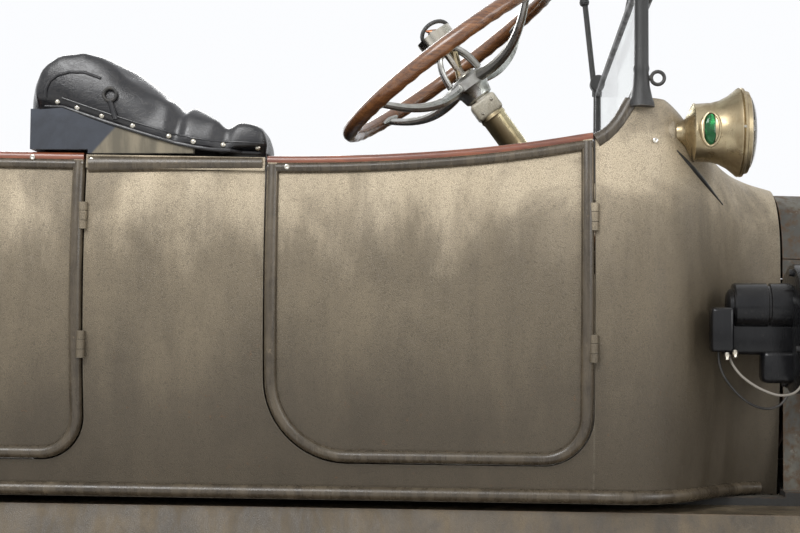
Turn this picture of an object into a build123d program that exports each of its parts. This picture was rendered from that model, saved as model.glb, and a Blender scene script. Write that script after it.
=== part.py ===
"""Antique touring car: an open five-seat body on a ladder frame, right-hand drive, wooden wheels.

Millimetres. +X forward, +Y to the car's left, +Z up. The origin is on the ground, midway along the car.
Pieces of the right side (-Y) are modelled first and mirrored to the left.
"""

import os
from math import acos, asin, atan2, cos, degrees, hypot, radians, sin, sqrt, tan

from build123d import *

# Stance
HALF_LENGTH = 2040.0
FRONT_AXLE_X = 1600.0
WHEELBASE = 3050.0
REAR_AXLE_X = FRONT_AXLE_X - WHEELBASE
HALF_TRACK = 711.0
CLEAR = 0.3

# Wheels and tyres
TYRE_RADIUS = 432.0
TYRE_SECTION = 51.0
RIM_RADIUS = 338.0
RIM_HALF_WIDTH = 42.0
RIM_THICK = 6.0
RIM_LIP = 7.0
RIM_LIP_THICK = 4.0
FELLOE_OUTER = 331.0
FELLOE_INNER = 292.0
FELLOE_WIDTH = 48.0
SPOKES = 12
SPOKE_WIDE = 38.0
SPOKE_NARROW = 27.0
SPOKE_THICK = 32.0
HUB_FLANGE_RADIUS = 80.0
HUB_FLANGE_THICK = 9.0
HUB_BARREL_RADIUS = 46.0
HUB_INNER_REACH = 50.0
HUB_OUTER_REACH = 96.0
HUB_CAP_RADIUS = 36.0
SPINDLE_RADIUS = 18.0
SPINDLE_REACH = 84.0
DRUM_RADIUS = 165.0
DRUM_WIDTH = 44.0
DRUM_WALL = 6.0
AXLE_Z = TYRE_RADIUS

# Frame
RAIL_TOP = 630.0
RAIL_DEPTH = 100.0
RAIL_OUTER_Y = 400.0
RAIL_WIDTH = 44.0
RAIL_THICK = 7.0
RAIL_REAR_X = -1945.0
RAIL_FRONT_X = 1740.0
HORN_TIP_X = 2000.0
EYE_Z = 500.0
EYE_RADIUS = 14.0
CROSS_WIDE = 60.0
CROSS_DEEP = 70.0

# Springs
LEAF_THICK = 8.0
LEAF_WIDTH = 44.0
FRONT_SPRING_HALF = 400.0
FRONT_SPRING_LEAVES = 5
REAR_SPRING_HALF = 470.0
REAR_SPRING_LEAVES = 5
REAR_SPRING_Y = 430.0
REAR_EYE_Z = 562.0
BEAM_TOP = 400.0
BEAM_DEEP = 52.0
BEAM_WIDE = 44.0
AXLE_TUBE_RADIUS = 45.0

# Body walls: one arc section carried round the car
WALL_THICK = 30.0
WALL_RADIUS = 1500.0
BULGE_Y = 600.0
BULGE_Z = 1000.0
WALL_UNCUT_TOP = 1330.0
BACK_X = -1790.0
CORNER_RADIUS = 280.0
DOOR_GAP = 5.0
COWL_START_X = 312.0
TUB_FRONT_X = -1110.0
FLOOR_THICK = 18.0
SILL_BEAD_TOP = 652.0
SILL_BEAD_LOW = 634.0
SILL_BEAD_PROUD = 5.0

# Belt line, seen from the side
BELT_REAR_Z = 1214.0
BELT_LOW_X = -230.0
BELT_LOW_Z = 1186.0
BELT_MID_X = 100.0
BELT_MID_Z = 1197.0
BELT_COWL_Z = 1226.0
EAR_TOP_Z = 1286.0
EAR_REAR_X = 372.0
EAR_FRONT_X = 424.0
BELT_RAIL_DEEP = 22.0
BELT_RAIL_PROUD = 6.0

# Doors
FRONT_DOOR_REAR_X = -222.0
REAR_DOOR_FRONT_X = -518.0
REAR_DOOR_REAR_X = -1078.0
DOOR_BOTTOM_Z = 690.0
FRONT_DOOR_LATCH_R = 136.0
FRONT_DOOR_HINGE_R = 82.0
REAR_DOOR_HINGE_R = 74.0
FENDER_CUT_RADIUS = 572.0
BEAD_WIDE = 15.0
BEAD_PROUD = 7.0
HINGE_Y = 600.0
KNUCKLE_RADIUS = 7.5
HINGE_PIN_RADIUS = 3.0
HINGE_HOLE_RADIUS = 3.2
HINGE_TALL = 44.0
HINGE_MIDDLE = 16.0
HINGE_GAP = 0.4
HINGE_HEIGHTS = (880.0, 1090.0)

# Cowl: station, half width, top height, shoulder radius
COWL_FRONT_X = 640.0
COWL_TABLE = (
    (COWL_START_X, 600.0, 1292.0, 24.0),
    (425.0, 584.0, 1290.0, 26.0),
    (500.0, 502.0, 1224.0, 60.0),
    (571.0, 416.0, 1182.0, 100.0),
    (COWL_FRONT_X, 385.0, 1166.0, 124.0),
)
COWL_WALL = 14.0
DECK_REAR_X = 395.0
DECK_REAR_Z = 1238.0
DECK_END_X = 585.0
DECK_END_Z = 1180.0
EAR_THICK = 26.0
FIREWALL_THICK = 18.0
TOE_LOW_X = 430.0
TOE_TOP_Z = 850.0
TOE_THICK = 16.0

# Hood
HOOD_GAP = 5.0
HOOD_REAR_X = COWL_FRONT_X + HOOD_GAP
HOOD_FRONT_X = 1558.0
HOOD_REAR_HALF = 378.0
HOOD_FRONT_HALF = 285.0
HOOD_REAR_TOP = 1164.0
HOOD_FRONT_TOP = 1150.0
HOOD_SHOULDER = 118.0
HOOD_BOTTOM = 640.0
HOOD_THICK = 4.0
HOOD_SEAM_DROP = 128.0
HOOD_ROD_RADIUS = 5.0
HOOD_ROD_SINK = 1.0

# Radiator
RADIATOR_REAR_X = HOOD_FRONT_X + HOOD_GAP
RADIATOR_FRONT_X = 1652.0
RADIATOR_BOTTOM = 535.0
RADIATOR_RIM = 34.0
NECK_RADIUS = 28.0
CAP_RADIUS = 38.0
CAP_TOP = 1216.0

# Fenders and running boards
FENDER_RADIUS = 505.0
FENDER_INNER_Y = 602.0
FENDER_OUTER_Y = 800.0
FENDER_THICK = 5.0
FENDER_CROWN = 16.0
FENDER_LEAVE_ANGLE = 140.0
FENDER_SWEEP_RADIUS = 150.0
REAR_FENDER_INNER_Y = 582.0
REAR_FENDER_END_ANGLE = 163.0
BOARD_TOP = 440.0
BOARD_THICK = 26.0
BOARD_INNER_Y = 600.0
BOARD_IRON_XS = (700.0, 230.0, -240.0, -710.0)
APRON_TOP_Z = 616.0
APRON_TOP_Y = 546.0
APRON_THICK = 3.0

# Steering
STEER_LIMIT = 25.0
KINGPIN_Y = 600.0
KINGPIN_RADIUS = 11.0
KINGPIN_BOSS = 24.0
FORK_HALF_GAP = 34.0
FORK_LUG = 18.0
TIE_ARM = 150.0
TIE_PIN_RADIUS = 6.0
TIE_Z = 392.0
DRAG_ARM = 150.0
DRAG_Z = 511.0
DRAG_PIN_RADIUS = 7.0
DRAG_EYE_INNER = 15.5
DRAG_EYE_OFFSET = 7.0
PITMAN_LENGTH = 100.0
PITMAN_X = 760.0
COLUMN_TOP = (70.0, -331.0, 1394.0)
COLUMN_FOOT = (689.0, -268.0, 560.0)
COLUMN_RADIUS = 21.0
RIM_MAJOR = 228.0
RIM_MINOR = 14.0

os.makedirs("parts", exist_ok=True)


def save(part, name):
    """Writes one finished piece to its own file."""
    part.label = name
    export_step(part, f"parts/{name}.step")


def both_sides(right):
    """The right-hand piece and its mirror image together."""
    with BuildPart() as pair:
        add(right)
        mirror(right, about=Plane.XZ)
    return pair.part


def left_of(right):
    """The mirror image of a right-hand piece."""
    with BuildPart() as other:
        mirror(right, about=Plane.XZ)
    return other.part


def block(x_span, y_span, z_span):
    """A plain box between three pairs of limits."""
    with BuildPart() as box:
        with Locations((sum(x_span) / 2, sum(y_span) / 2, sum(z_span) / 2)):
            Box(abs(x_span[1] - x_span[0]), abs(y_span[1] - y_span[0]), abs(z_span[1] - z_span[0]))
    return box.part


def rod(start, end, radius):
    """A round bar between two points."""
    a, b = Vector(*start), Vector(*end)
    run = b - a
    with BuildPart() as bar:
        with BuildSketch(Plane(origin=a, z_dir=run)):
            Circle(radius)
        extrude(amount=run.length)
    return bar.part


def side_prism(points, y_span):
    """A side view given as X and Z corners, carried between two Y limits."""
    with BuildPart() as prism:
        with BuildSketch(Plane.XZ.offset(-max(y_span))):
            with BuildLine():
                Polyline(*points, close=True)
            make_face()
        extrude(amount=abs(y_span[1] - y_span[0]))
    return prism.part


def end_prism(points, x_span):
    """An end view given as Y and Z corners, carried between two X limits."""
    with BuildPart() as prism:
        with BuildSketch(Plane.YZ.offset(min(x_span))):
            with BuildLine():
                Polyline(*points, close=True)
            make_face()
        extrude(amount=abs(x_span[1] - x_span[0]))
    return prism.part


def plan_prism(points, z_span):
    """A plan view given as X and Y corners, carried between two heights."""
    with BuildPart() as prism:
        with BuildSketch(Plane.XY.offset(min(z_span))):
            with BuildLine():
                Polyline(*points, close=True)
            make_face()
        extrude(amount=abs(z_span[1] - z_span[0]))
    return prism.part


def joined(*pieces):
    """Several pieces as one."""
    with BuildPart() as whole:
        for piece in pieces:
            add(piece)
    return whole.part


def without(body, *tools):
    """A piece less what the tools take out."""
    with BuildPart() as rest:
        add(body)
        for tool in tools:
            add(tool, mode=Mode.SUBTRACT)
    return rest.part


def within(body, tool):
    """What two pieces have in common."""
    with BuildPart() as common:
        add(body)
        add(tool, mode=Mode.INTERSECT)
    return common.part


def wall_y(z, inset=0.0):
    """Half-width of the body wall's face at a height."""
    return BULGE_Y - WALL_RADIUS + sqrt((WALL_RADIUS - inset) ** 2 - (z - BULGE_Z) ** 2)


def wall_section(plane, low, high, outer, inner, half=BULGE_Y):
    """Band between two arcs about one centre: x is the half-width, y the height."""
    with BuildSketch(plane) as section:
        with Locations((half - WALL_RADIUS, BULGE_Z)):
            Circle(WALL_RADIUS + outer)
            Circle(WALL_RADIUS + inner, mode=Mode.SUBTRACT)
        with Locations((half, (low + high) / 2)):
            Rectangle(2 * half, high - low, mode=Mode.INTERSECT)
    return section.sketch


def side_band(x_front, x_rear, low, high, outer=0.0, inner=-WALL_THICK):
    """A straight length of wall section on the right side."""
    plane = Plane(origin=(x_front, 0, 0), x_dir=(0, -1, 0), z_dir=(-1, 0, 0))
    section = wall_section(plane, low, high, outer, inner)
    with BuildPart() as band:
        extrude(section, amount=x_front - x_rear)
    return band.part


TURN_X = BACK_X + CORNER_RADIUS
TURN_Y = BULGE_Y - CORNER_RADIUS


def tub_band(low, high, outer=0.0, inner=-WALL_THICK, front=TUB_FRONT_X):
    """The side behind front, its rounded rear corner and the back, on both sides."""
    corner_plane = Plane(origin=(TURN_X, 0, 0), x_dir=(0, -1, 0), z_dir=(-1, 0, 0))
    corner = wall_section(corner_plane, low, high, outer, inner)
    back_plane = Plane(origin=(BACK_X + BULGE_Y, -TURN_Y, 0), x_dir=(-1, 0, 0), z_dir=(0, 1, 0))
    back = wall_section(back_plane, low, high, outer, inner)
    side = side_band(front, TURN_X, low, high, outer, inner)
    with BuildPart() as right:
        add(side)
        revolve(corner, axis=Axis((TURN_X, -TURN_Y, 0), (0, 0, 1)), revolution_arc=-90)
        extrude(back, amount=TURN_Y)
    return both_sides(right.part)


def belt_prism(drop=0.0, top=None):
    """All that lies under the belt line, lowered by drop, right across the car."""
    ear = EAR_TOP_Z if top is None else top
    rear_x = BACK_X - 60
    front_x = COWL_FRONT_X + 60
    slope = (BELT_LOW_Z - BELT_REAR_Z) / (BELT_LOW_X - rear_x)
    with BuildPart() as prism:
        with BuildSketch(Plane.XZ):
            with BuildLine():
                Line((rear_x, BELT_REAR_Z - drop), (BELT_LOW_X, BELT_LOW_Z - drop))
                dip = TangentArc(
                    (BELT_LOW_X, BELT_LOW_Z - drop), (BELT_MID_X, BELT_MID_Z - drop), tangent=(1, slope)
                )
                rise = TangentArc(dip @ 1, (COWL_START_X, BELT_COWL_Z - drop), tangent=dip % 1)
                ramp = TangentArc(rise @ 1, (EAR_REAR_X, ear - drop), tangent=rise % 1)
                Polyline(
                    ramp @ 1,
                    (front_x, ear - drop),
                    (front_x, RAIL_TOP - 100),
                    (rear_x, RAIL_TOP - 100),
                    (rear_x, BELT_REAR_Z - drop),
                )
            make_face()
        extrude(amount=2 * BULGE_Y, both=True)
    return prism.part


def door_prism(rear, front, radii, shrink=0.0, near=300.0, far=700.0):
    """A door's side view, pulled in by shrink and open at the top, carried through the right wall."""
    x_rear, x_front = rear + shrink, front - shrink
    low, top = DOOR_BOTTOM_Z + shrink, WALL_UNCUT_TOP + 10
    with BuildPart() as prism:
        with BuildSketch(Plane.XZ.offset(near)):
            with BuildLine():
                FilletPolyline(
                    (x_rear, top), (x_rear, low), (x_front, low), (x_front, top),
                    radius=tuple(r - shrink for r in radii),
                )
                Line((x_front, top), (x_rear, top))
            make_face()
            with Locations((REAR_AXLE_X, AXLE_Z)):
                Circle(FENDER_CUT_RADIUS + shrink, mode=Mode.SUBTRACT)
        extrude(amount=far - near)
    return prism.part


def front_door_prism(shrink=0.0):
    """The front door's side view."""
    radii = (FRONT_DOOR_LATCH_R, FRONT_DOOR_HINGE_R)
    return door_prism(FRONT_DOOR_REAR_X, COWL_START_X, radii, shrink)


def rear_door_prism(shrink=0.0):
    """The rear door's side view; its low rear corner follows the fender."""
    radii = (1.0 + shrink, REAR_DOOR_HINGE_R)
    return door_prism(REAR_DOOR_REAR_X, REAR_DOOR_FRONT_X, radii, shrink)


def hinge_part(x, heights, tall, radius):
    """Upright barrels of one hinge line on the right side."""
    with BuildPart() as barrels:
        with Locations(*[(x, -HINGE_Y, z) for z in heights]):
            Cylinder(radius, tall)
    return barrels.part


def body_hinges(x):
    """The pillar's two end knuckles of each hinge, with the pin between them."""
    end_tall = (HINGE_TALL - HINGE_MIDDLE) / 2 - HINGE_GAP
    shift = HINGE_TALL / 2 - end_tall / 2
    ends = [z + s * shift for z in HINGE_HEIGHTS for s in (-1, 1)]
    return joined(
        hinge_part(x, ends, end_tall, KNUCKLE_RADIUS),
        hinge_part(x, HINGE_HEIGHTS, HINGE_TALL, HINGE_PIN_RADIUS),
    )


def hinged_door(outer_prism, hole_prism, hinge_x):
    """A door panel with its raised bead and its middle knuckles, cut clear of the pillar's."""
    skin = side_band(COWL_START_X, TUB_FRONT_X, RAIL_TOP, WALL_UNCUT_TOP)
    proud = side_band(COWL_START_X, TUB_FRONT_X, RAIL_TOP, WALL_UNCUT_TOP, BEAD_PROUD, -WALL_THICK / 2)
    bead = without(within(proud, outer_prism), hole_prism)
    rail_skin = side_band(COWL_START_X, TUB_FRONT_X, RAIL_TOP, WALL_UNCUT_TOP, BELT_RAIL_PROUD, -10)
    rail = without(within(rail_skin, outer_prism), belt_prism(BELT_RAIL_DEEP, EAR_TOP_Z))
    panel = within(joined(within(skin, outer_prism), bead, rail), belt_prism())
    end_tall = (HINGE_TALL - HINGE_MIDDLE) / 2
    shift = HINGE_TALL / 2 - end_tall / 2
    notches = [z + s * shift for z in HINGE_HEIGHTS for s in (-1, 1)]
    return without(
        joined(panel, hinge_part(hinge_x, HINGE_HEIGHTS, HINGE_MIDDLE, KNUCKLE_RADIUS)),
        hinge_part(hinge_x, notches, end_tall + 2 * HINGE_GAP, KNUCKLE_RADIUS + HINGE_GAP),
        hinge_part(hinge_x, HINGE_HEIGHTS, HINGE_TALL, HINGE_HOLE_RADIUS),
    )


FRONT_HINGE_X = COWL_START_X - DOOR_GAP / 2
REAR_HINGE_X = REAR_DOOR_FRONT_X - DOOR_GAP / 2

# Doors
front_door_right = hinged_door(front_door_prism(DOOR_GAP), front_door_prism(DOOR_GAP + BEAD_WIDE), FRONT_HINGE_X)
rear_door_right = hinged_door(rear_door_prism(DOOR_GAP), rear_door_prism(DOOR_GAP + BEAD_WIDE), REAR_HINGE_X)
save(front_door_right, "front_door_right")
save(left_of(front_door_right), "front_door_left")
save(rear_door_right, "rear_door_right")
save(left_of(rear_door_right), "rear_door_left")

# Body sides between the cowl and the tub, pierced by the doors
side_skin = joined(
    side_band(COWL_START_X, TUB_FRONT_X, RAIL_TOP, WALL_UNCUT_TOP),
    side_band(COWL_START_X, TUB_FRONT_X, SILL_BEAD_LOW, SILL_BEAD_TOP, SILL_BEAD_PROUD, -10),
)
side_rail = without(
    side_band(COWL_START_X, TUB_FRONT_X, RAIL_TOP, WALL_UNCUT_TOP, BELT_RAIL_PROUD, -10),
    belt_prism(BELT_RAIL_DEEP),
)
door_knuckle_room = hinge_part(
    REAR_HINGE_X, HINGE_HEIGHTS, HINGE_MIDDLE + 2 * HINGE_GAP, KNUCKLE_RADIUS + HINGE_GAP
)
side_wall = within(
    without(joined(side_skin, side_rail), front_door_prism(), rear_door_prism(), door_knuckle_room),
    belt_prism(),
)
body_sides = both_sides(joined(side_wall, body_hinges(REAR_HINGE_X)))
save(body_sides, "body_sides")

# Rear tub round the back seat
tub_rail = without(
    tub_band(RAIL_TOP, WALL_UNCUT_TOP, BELT_RAIL_PROUD, -10), belt_prism(BELT_RAIL_DEEP)
)
rear_tub = within(
    joined(
        tub_band(RAIL_TOP, WALL_UNCUT_TOP),
        tub_band(SILL_BEAD_LOW, SILL_BEAD_TOP, SILL_BEAD_PROUD, -10),
        tub_rail,
    ),
    belt_prism(),
)
TOP_PIN_X, TOP_PIN_Z = -1260.0, 1150.0
TOP_PIN_RADIUS = 8.0
TOP_PIN_END = 640.0
top_pins = joined(
    rod((TOP_PIN_X, -BULGE_Y + 15, TOP_PIN_Z), (TOP_PIN_X, -TOP_PIN_END, TOP_PIN_Z), TOP_PIN_RADIUS),
    rod((TOP_PIN_X, -BULGE_Y + 15, TOP_PIN_Z), (TOP_PIN_X, -TOP_PIN_END + 36, TOP_PIN_Z), TOP_PIN_RADIUS + 10),
)
rear_tub = joined(rear_tub, both_sides(top_pins))
save(rear_tub, "rear_tub")


def cowl_section(x, half, top, shoulder, bottom):
    """One closed cross-section of the cowl."""
    low_y = half - WALL_RADIUS + sqrt(WALL_RADIUS**2 - (bottom - BULGE_Z) ** 2)
    mid_z = (bottom + top) / 2
    mid_y = half - WALL_RADIUS + sqrt(WALL_RADIUS**2 - (mid_z - BULGE_Z) ** 2)
    top_y = half - WALL_RADIUS + sqrt(WALL_RADIUS**2 - (top - BULGE_Z) ** 2)
    with BuildSketch(Plane.YZ.offset(x)) as section:
        with BuildLine():
            Line((-low_y, bottom), (low_y, bottom))
            ThreePointArc((low_y, bottom), (mid_y, mid_z), (top_y, top))
            Line((top_y, top), (-top_y, top))
            ThreePointArc((-top_y, top), (-mid_y, mid_z), (-low_y, bottom))
        make_face()
        fillet(section.vertices().group_by(Axis.Y)[-1], shoulder)
    return section.sketch


def deck_z(x):
    """Height of the sunk deck between the ears."""
    return DECK_REAR_Z + (DECK_END_Z - DECK_REAR_Z) * (x - DECK_REAR_X) / (DECK_END_X - DECK_REAR_X)


def cowl_solid(inset, bottom, under_deck=False):
    """The cowl's shape, pulled in by inset; under_deck keeps its roof below the deck too."""
    with BuildPart() as solid:
        loft([
            cowl_section(x, half - inset, (min(top, deck_z(x)) if under_deck else top) - inset, shoulder, bottom)
            for x, half, top, shoulder in COWL_TABLE
        ])
    return solid.part


# Cowl: fairing ears at the sides, a sunk deck between them, open to the cockpit behind
inner_cowl = cowl_solid(COWL_WALL, RAIL_TOP - 5, True)
deck_well = within(
    side_prism(
        (
            (COWL_START_X - 10, EAR_TOP_Z + 60),
            (COWL_START_X - 10, RAIL_TOP + 300),
            (DECK_REAR_X, RAIL_TOP + 300),
            (DECK_REAR_X, DECK_REAR_Z),
            (DECK_END_X, DECK_END_Z),
            (DECK_END_X + 15, EAR_TOP_Z + 60),
        ),
        (-BULGE_Y, BULGE_Y),
    ),
    plan_prism(
        (
            (COWL_START_X - 10, -BULGE_Y + WALL_THICK),
            (DECK_REAR_X + 20, -BULGE_Y + WALL_THICK + 12),
            (DECK_END_X, -COWL_TABLE[3][1] + 40),
            (DECK_END_X + 15, 0),
            (DECK_END_X, COWL_TABLE[3][1] - 40),
            (DECK_REAR_X + 20, BULGE_Y - WALL_THICK - 12),
            (COWL_START_X - 10, BULGE_Y - WALL_THICK),
        ),
        (RAIL_TOP, EAR_TOP_Z + 80),
    ),
)
cowl_sill = joined(
    side_band(COWL_START_X + 90, COWL_START_X, SILL_BEAD_LOW, SILL_BEAD_TOP, SILL_BEAD_PROUD, -10),
)
front_knuckle_room = hinge_part(
    FRONT_HINGE_X, HINGE_HEIGHTS, HINGE_MIDDLE + 2 * HINGE_GAP, KNUCKLE_RADIUS + HINGE_GAP
)
cowl = joined(
    without(
        within(cowl_solid(0, RAIL_TOP), belt_prism()),
        inner_cowl,
        deck_well,
        both_sides(front_knuckle_room),
    ),
    both_sides(body_hinges(FRONT_HINGE_X)),
)
save(cowl, "cowl")

# Floor, cut to the inside of the body
floor_half = wall_y(RAIL_TOP, WALL_THICK) - CLEAR
floor_rear = -(abs(BACK_X) - BULGE_Y + floor_half)
floor_corner = floor_half - TURN_Y
with BuildPart() as floor:
    with BuildSketch(Plane.XY.offset(RAIL_TOP)):
        with BuildLine():
            Polyline(
                (TOE_LOW_X, -floor_half + 30),
                (COWL_START_X, -floor_half),
                (TURN_X, -floor_half),
            )
            JernArc((TURN_X, -floor_half), (-1, 0), floor_corner, -90)
            Line((TURN_X - floor_corner, -TURN_Y), (TURN_X - floor_corner, TURN_Y))
            JernArc((TURN_X - floor_corner, TURN_Y), (0, 1), floor_corner, -90)
            Polyline(
                (TURN_X, floor_half),
                (COWL_START_X, floor_half),
                (TOE_LOW_X, floor_half - 30),
                (TOE_LOW_X, -floor_half + 30),
            )
        make_face()
    extrude(amount=FLOOR_THICK)
save(floor.part, "floor")

# Firewall and toe board under the cowl
firewall_room = cowl_solid(COWL_WALL + 1.0, RAIL_TOP - 5, True)
column_run = Vector(*COLUMN_FOOT) - Vector(*COLUMN_TOP)
column_dir = column_run.normalized()
column_hole = rod(COLUMN_TOP, COLUMN_FOOT, COLUMN_RADIUS + 4)
toe_front_x = COWL_FRONT_X - FIREWALL_THICK - 2
firewall = within(
    block((toe_front_x, COWL_FRONT_X - 2), (-BULGE_Y, BULGE_Y), (TOE_TOP_Z, EAR_TOP_Z)), firewall_room
)
toe_board = without(
    within(
        side_prism(
            (
                (TOE_LOW_X + CLEAR, RAIL_TOP + CLEAR),
                (TOE_LOW_X + CLEAR + 24, RAIL_TOP + CLEAR),
                (toe_front_x - CLEAR, TOE_TOP_Z - 24),
                (toe_front_x - CLEAR, TOE_TOP_Z),
            ),
            (-floor_half, floor_half),
        ),
        firewall_room,
    ),
    column_hole,
)
save(firewall, "firewall")
save(toe_board, "toe_board")


def hood_face(x, half, top, inset, low):
    """Cross-section of the hood pulled in by inset, down to a height."""
    with BuildSketch(Plane.YZ.offset(x)) as section:
        with BuildLine():
            Line((-half + inset, low), (half - inset, low))
            Line((half - inset, low), (half - inset, top - 14 - inset))
            ThreePointArc((half - inset, top - 14 - inset), (0, top - inset), (-half + inset, top - 14 - inset))
            Line((-half + inset, top - 14 - inset), (-half + inset, low))
        make_face()
        fillet(section.vertices().group_by(Axis.Y)[-1], HOOD_SHOULDER - inset)
    return section.sketch


def hood_solid(inset, low=HOOD_BOTTOM, extra=0.0):
    """The hood's shape between its two ends, pulled in by inset."""
    with BuildPart() as solid:
        loft([
            hood_face(HOOD_REAR_X - extra, HOOD_REAR_HALF, HOOD_REAR_TOP, inset, low),
            hood_face(HOOD_FRONT_X + extra, HOOD_FRONT_HALF, HOOD_FRONT_TOP, inset, low),
        ])
    return solid.part


# Hood: fixed sides, two top leaves hinged on a centre rod
hood_shell = without(hood_solid(0), hood_solid(HOOD_THICK, HOOD_BOTTOM - 5, 0.01))
seam_rear = HOOD_REAR_TOP - HOOD_SEAM_DROP
seam_front = HOOD_FRONT_TOP - HOOD_SEAM_DROP
seam_x = (HOOD_REAR_X - 5, HOOD_FRONT_X + 5)
hood_sides = within(
    hood_shell,
    side_prism(
        ((seam_x[0], seam_rear), (seam_x[1], seam_front), (seam_x[1], 500), (seam_x[0], 500)),
        (-BULGE_Y, BULGE_Y),
    ),
)
save(hood_sides, "hood_sides")
rod_rear = (COWL_FRONT_X + CLEAR, 0.0, HOOD_REAR_TOP - HOOD_ROD_SINK)
rod_front = (RADIATOR_REAR_X - CLEAR, 0.0, HOOD_FRONT_TOP - HOOD_ROD_SINK)
hood_rod = rod(rod_rear, rod_front, HOOD_ROD_RADIUS)
save(hood_rod, "hood_rod")
leaf_tops = within(
    hood_shell,
    side_prism(
        (
            (seam_x[0], seam_rear + 1.5),
            (seam_x[1], seam_front + 1.5),
            (seam_x[1], EAR_TOP_Z),
            (seam_x[0], EAR_TOP_Z),
        ),
        (-BULGE_Y, -HOOD_ROD_RADIUS),
    ),
)
leaf_tops = without(leaf_tops, rod(rod_rear, rod_front, HOOD_ROD_RADIUS + CLEAR))
save(leaf_tops, "hood_right")
save(left_of(leaf_tops), "hood_left")


def radiator_outline(inset):
    """The radiator's front view, pulled in by inset."""
    low, top, half = RADIATOR_BOTTOM + inset, HOOD_FRONT_TOP - inset, HOOD_FRONT_HALF - inset
    with BuildSketch(Plane.YZ.offset(RADIATOR_REAR_X)) as face:
        with BuildLine():
            Line((-half, low), (half, low))
            Line((half, low), (half, top - 14))
            ThreePointArc((half, top - 14), (0, top), (-half, top - 14))
            Line((-half, top - 14), (-half, low))
        make_face()
        fillet(face.vertices().group_by(Axis.Y)[-1], HOOD_SHOULDER - inset)
    return face.sketch


# Radiator shell, its core, neck and cap
radiator_deep = RADIATOR_FRONT_X - RADIATOR_REAR_X
radiator_mid_x = (RADIATOR_FRONT_X + RADIATOR_REAR_X) / 2
with BuildPart() as radiator:
    extrude(radiator_outline(0), amount=radiator_deep)
    chamfer(radiator.faces().sort_by(Axis.X)[-1].edges(), 8)
    extrude(radiator_outline(RADIATOR_RIM), amount=radiator_deep, mode=Mode.SUBTRACT)
    with Locations((radiator_mid_x, 0, HOOD_FRONT_TOP - 6)):
        Cylinder(NECK_RADIUS, CAP_TOP - HOOD_FRONT_TOP - 20, align=(Align.CENTER, Align.CENTER, Align.MIN))
    with Locations((radiator_mid_x, 0, CAP_TOP - 26)):
        Cylinder(CAP_RADIUS, 22, align=(Align.CENTER, Align.CENTER, Align.MIN))
        with Locations((0, 0, 18)):
            Cylinder(CAP_RADIUS - 14, 8, align=(Align.CENTER, Align.CENTER, Align.MIN))
save(radiator.part, "radiator")
with BuildPart() as radiator_core:
    extrude(radiator_outline(RADIATOR_RIM + CLEAR), amount=radiator_deep - 24)
save(radiator_core.part, "radiator_core")

# Wheel, centred on the origin with its outer face towards -Y
with BuildPart() as wheel:
    with BuildSketch(Plane.XY):
        with BuildLine():
            Polyline(
                (RIM_RADIUS - CLEAR, RIM_HALF_WIDTH - RIM_LIP_THICK),
                (RIM_RADIUS + RIM_LIP, RIM_HALF_WIDTH - RIM_LIP_THICK),
                (RIM_RADIUS + RIM_LIP, RIM_HALF_WIDTH),
                (RIM_RADIUS - RIM_THICK - CLEAR, RIM_HALF_WIDTH),
                (RIM_RADIUS - RIM_THICK - CLEAR, FELLOE_WIDTH / 2),
                (FELLOE_INNER, FELLOE_WIDTH / 2),
                (FELLOE_INNER, -FELLOE_WIDTH / 2),
                (RIM_RADIUS - RIM_THICK - CLEAR, -FELLOE_WIDTH / 2),
                (RIM_RADIUS - RIM_THICK - CLEAR, -RIM_HALF_WIDTH),
                (RIM_RADIUS + RIM_LIP, -RIM_HALF_WIDTH),
                (RIM_RADIUS + RIM_LIP, -RIM_HALF_WIDTH + RIM_LIP_THICK),
                (RIM_RADIUS - CLEAR, -RIM_HALF_WIDTH + RIM_LIP_THICK),
                close=True,
            )
        make_face()
    revolve(axis=Axis.Y)
    with BuildSketch(Plane.XZ.offset(-SPOKE_THICK / 2)):
        with PolarLocations(0, SPOKES):
            with BuildLine():
                Polyline(
                    (HUB_BARREL_RADIUS + 10, -SPOKE_WIDE / 2),
                    (FELLOE_INNER + 4, -SPOKE_NARROW / 2),
                    (FELLOE_INNER + 4, SPOKE_NARROW / 2),
                    (HUB_BARREL_RADIUS + 10, SPOKE_WIDE / 2),
                    close=True,
                )
            make_face()
    extrude(amount=SPOKE_THICK)
    with BuildSketch(Plane.XY):
        with BuildLine():
            Polyline(
                (0, HUB_INNER_REACH),
                (HUB_BARREL_RADIUS, HUB_INNER_REACH),
                (HUB_BARREL_RADIUS, SPOKE_THICK / 2 + HUB_FLANGE_THICK),
                (HUB_FLANGE_RADIUS, SPOKE_THICK / 2 + HUB_FLANGE_THICK),
                (HUB_FLANGE_RADIUS, -SPOKE_THICK / 2 - HUB_FLANGE_THICK),
                (HUB_BARREL_RADIUS, -SPOKE_THICK / 2 - HUB_FLANGE_THICK),
                (HUB_BARREL_RADIUS - 6, -HUB_OUTER_REACH + 14),
                (HUB_CAP_RADIUS, -HUB_OUTER_REACH),
                (0, -HUB_OUTER_REACH - 4),
                close=True,
            )
        make_face()
    revolve(axis=Axis.Y)
    with BuildSketch(Plane.XZ.offset(-HUB_INNER_REACH)):
        Circle(SPINDLE_RADIUS + CLEAR)
    extrude(amount=HUB_INNER_REACH + SPINDLE_REACH + 2, mode=Mode.SUBTRACT)

# Brake drum on the inner flange of a rear wheel
with BuildPart() as drum:
    with BuildSketch(Plane.XY):
        with BuildLine():
            drum_y = SPOKE_THICK / 2 + HUB_FLANGE_THICK
            Polyline(
                (HUB_BARREL_RADIUS, drum_y),
                (DRUM_RADIUS, drum_y),
                (DRUM_RADIUS, drum_y + DRUM_WIDTH),
                (DRUM_RADIUS - DRUM_WALL, drum_y + DRUM_WIDTH),
                (DRUM_RADIUS - DRUM_WALL, drum_y + DRUM_WALL),
                (HUB_BARREL_RADIUS, drum_y + DRUM_WALL),
                close=True,
            )
        make_face()
    revolve(axis=Axis.Y)

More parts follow.
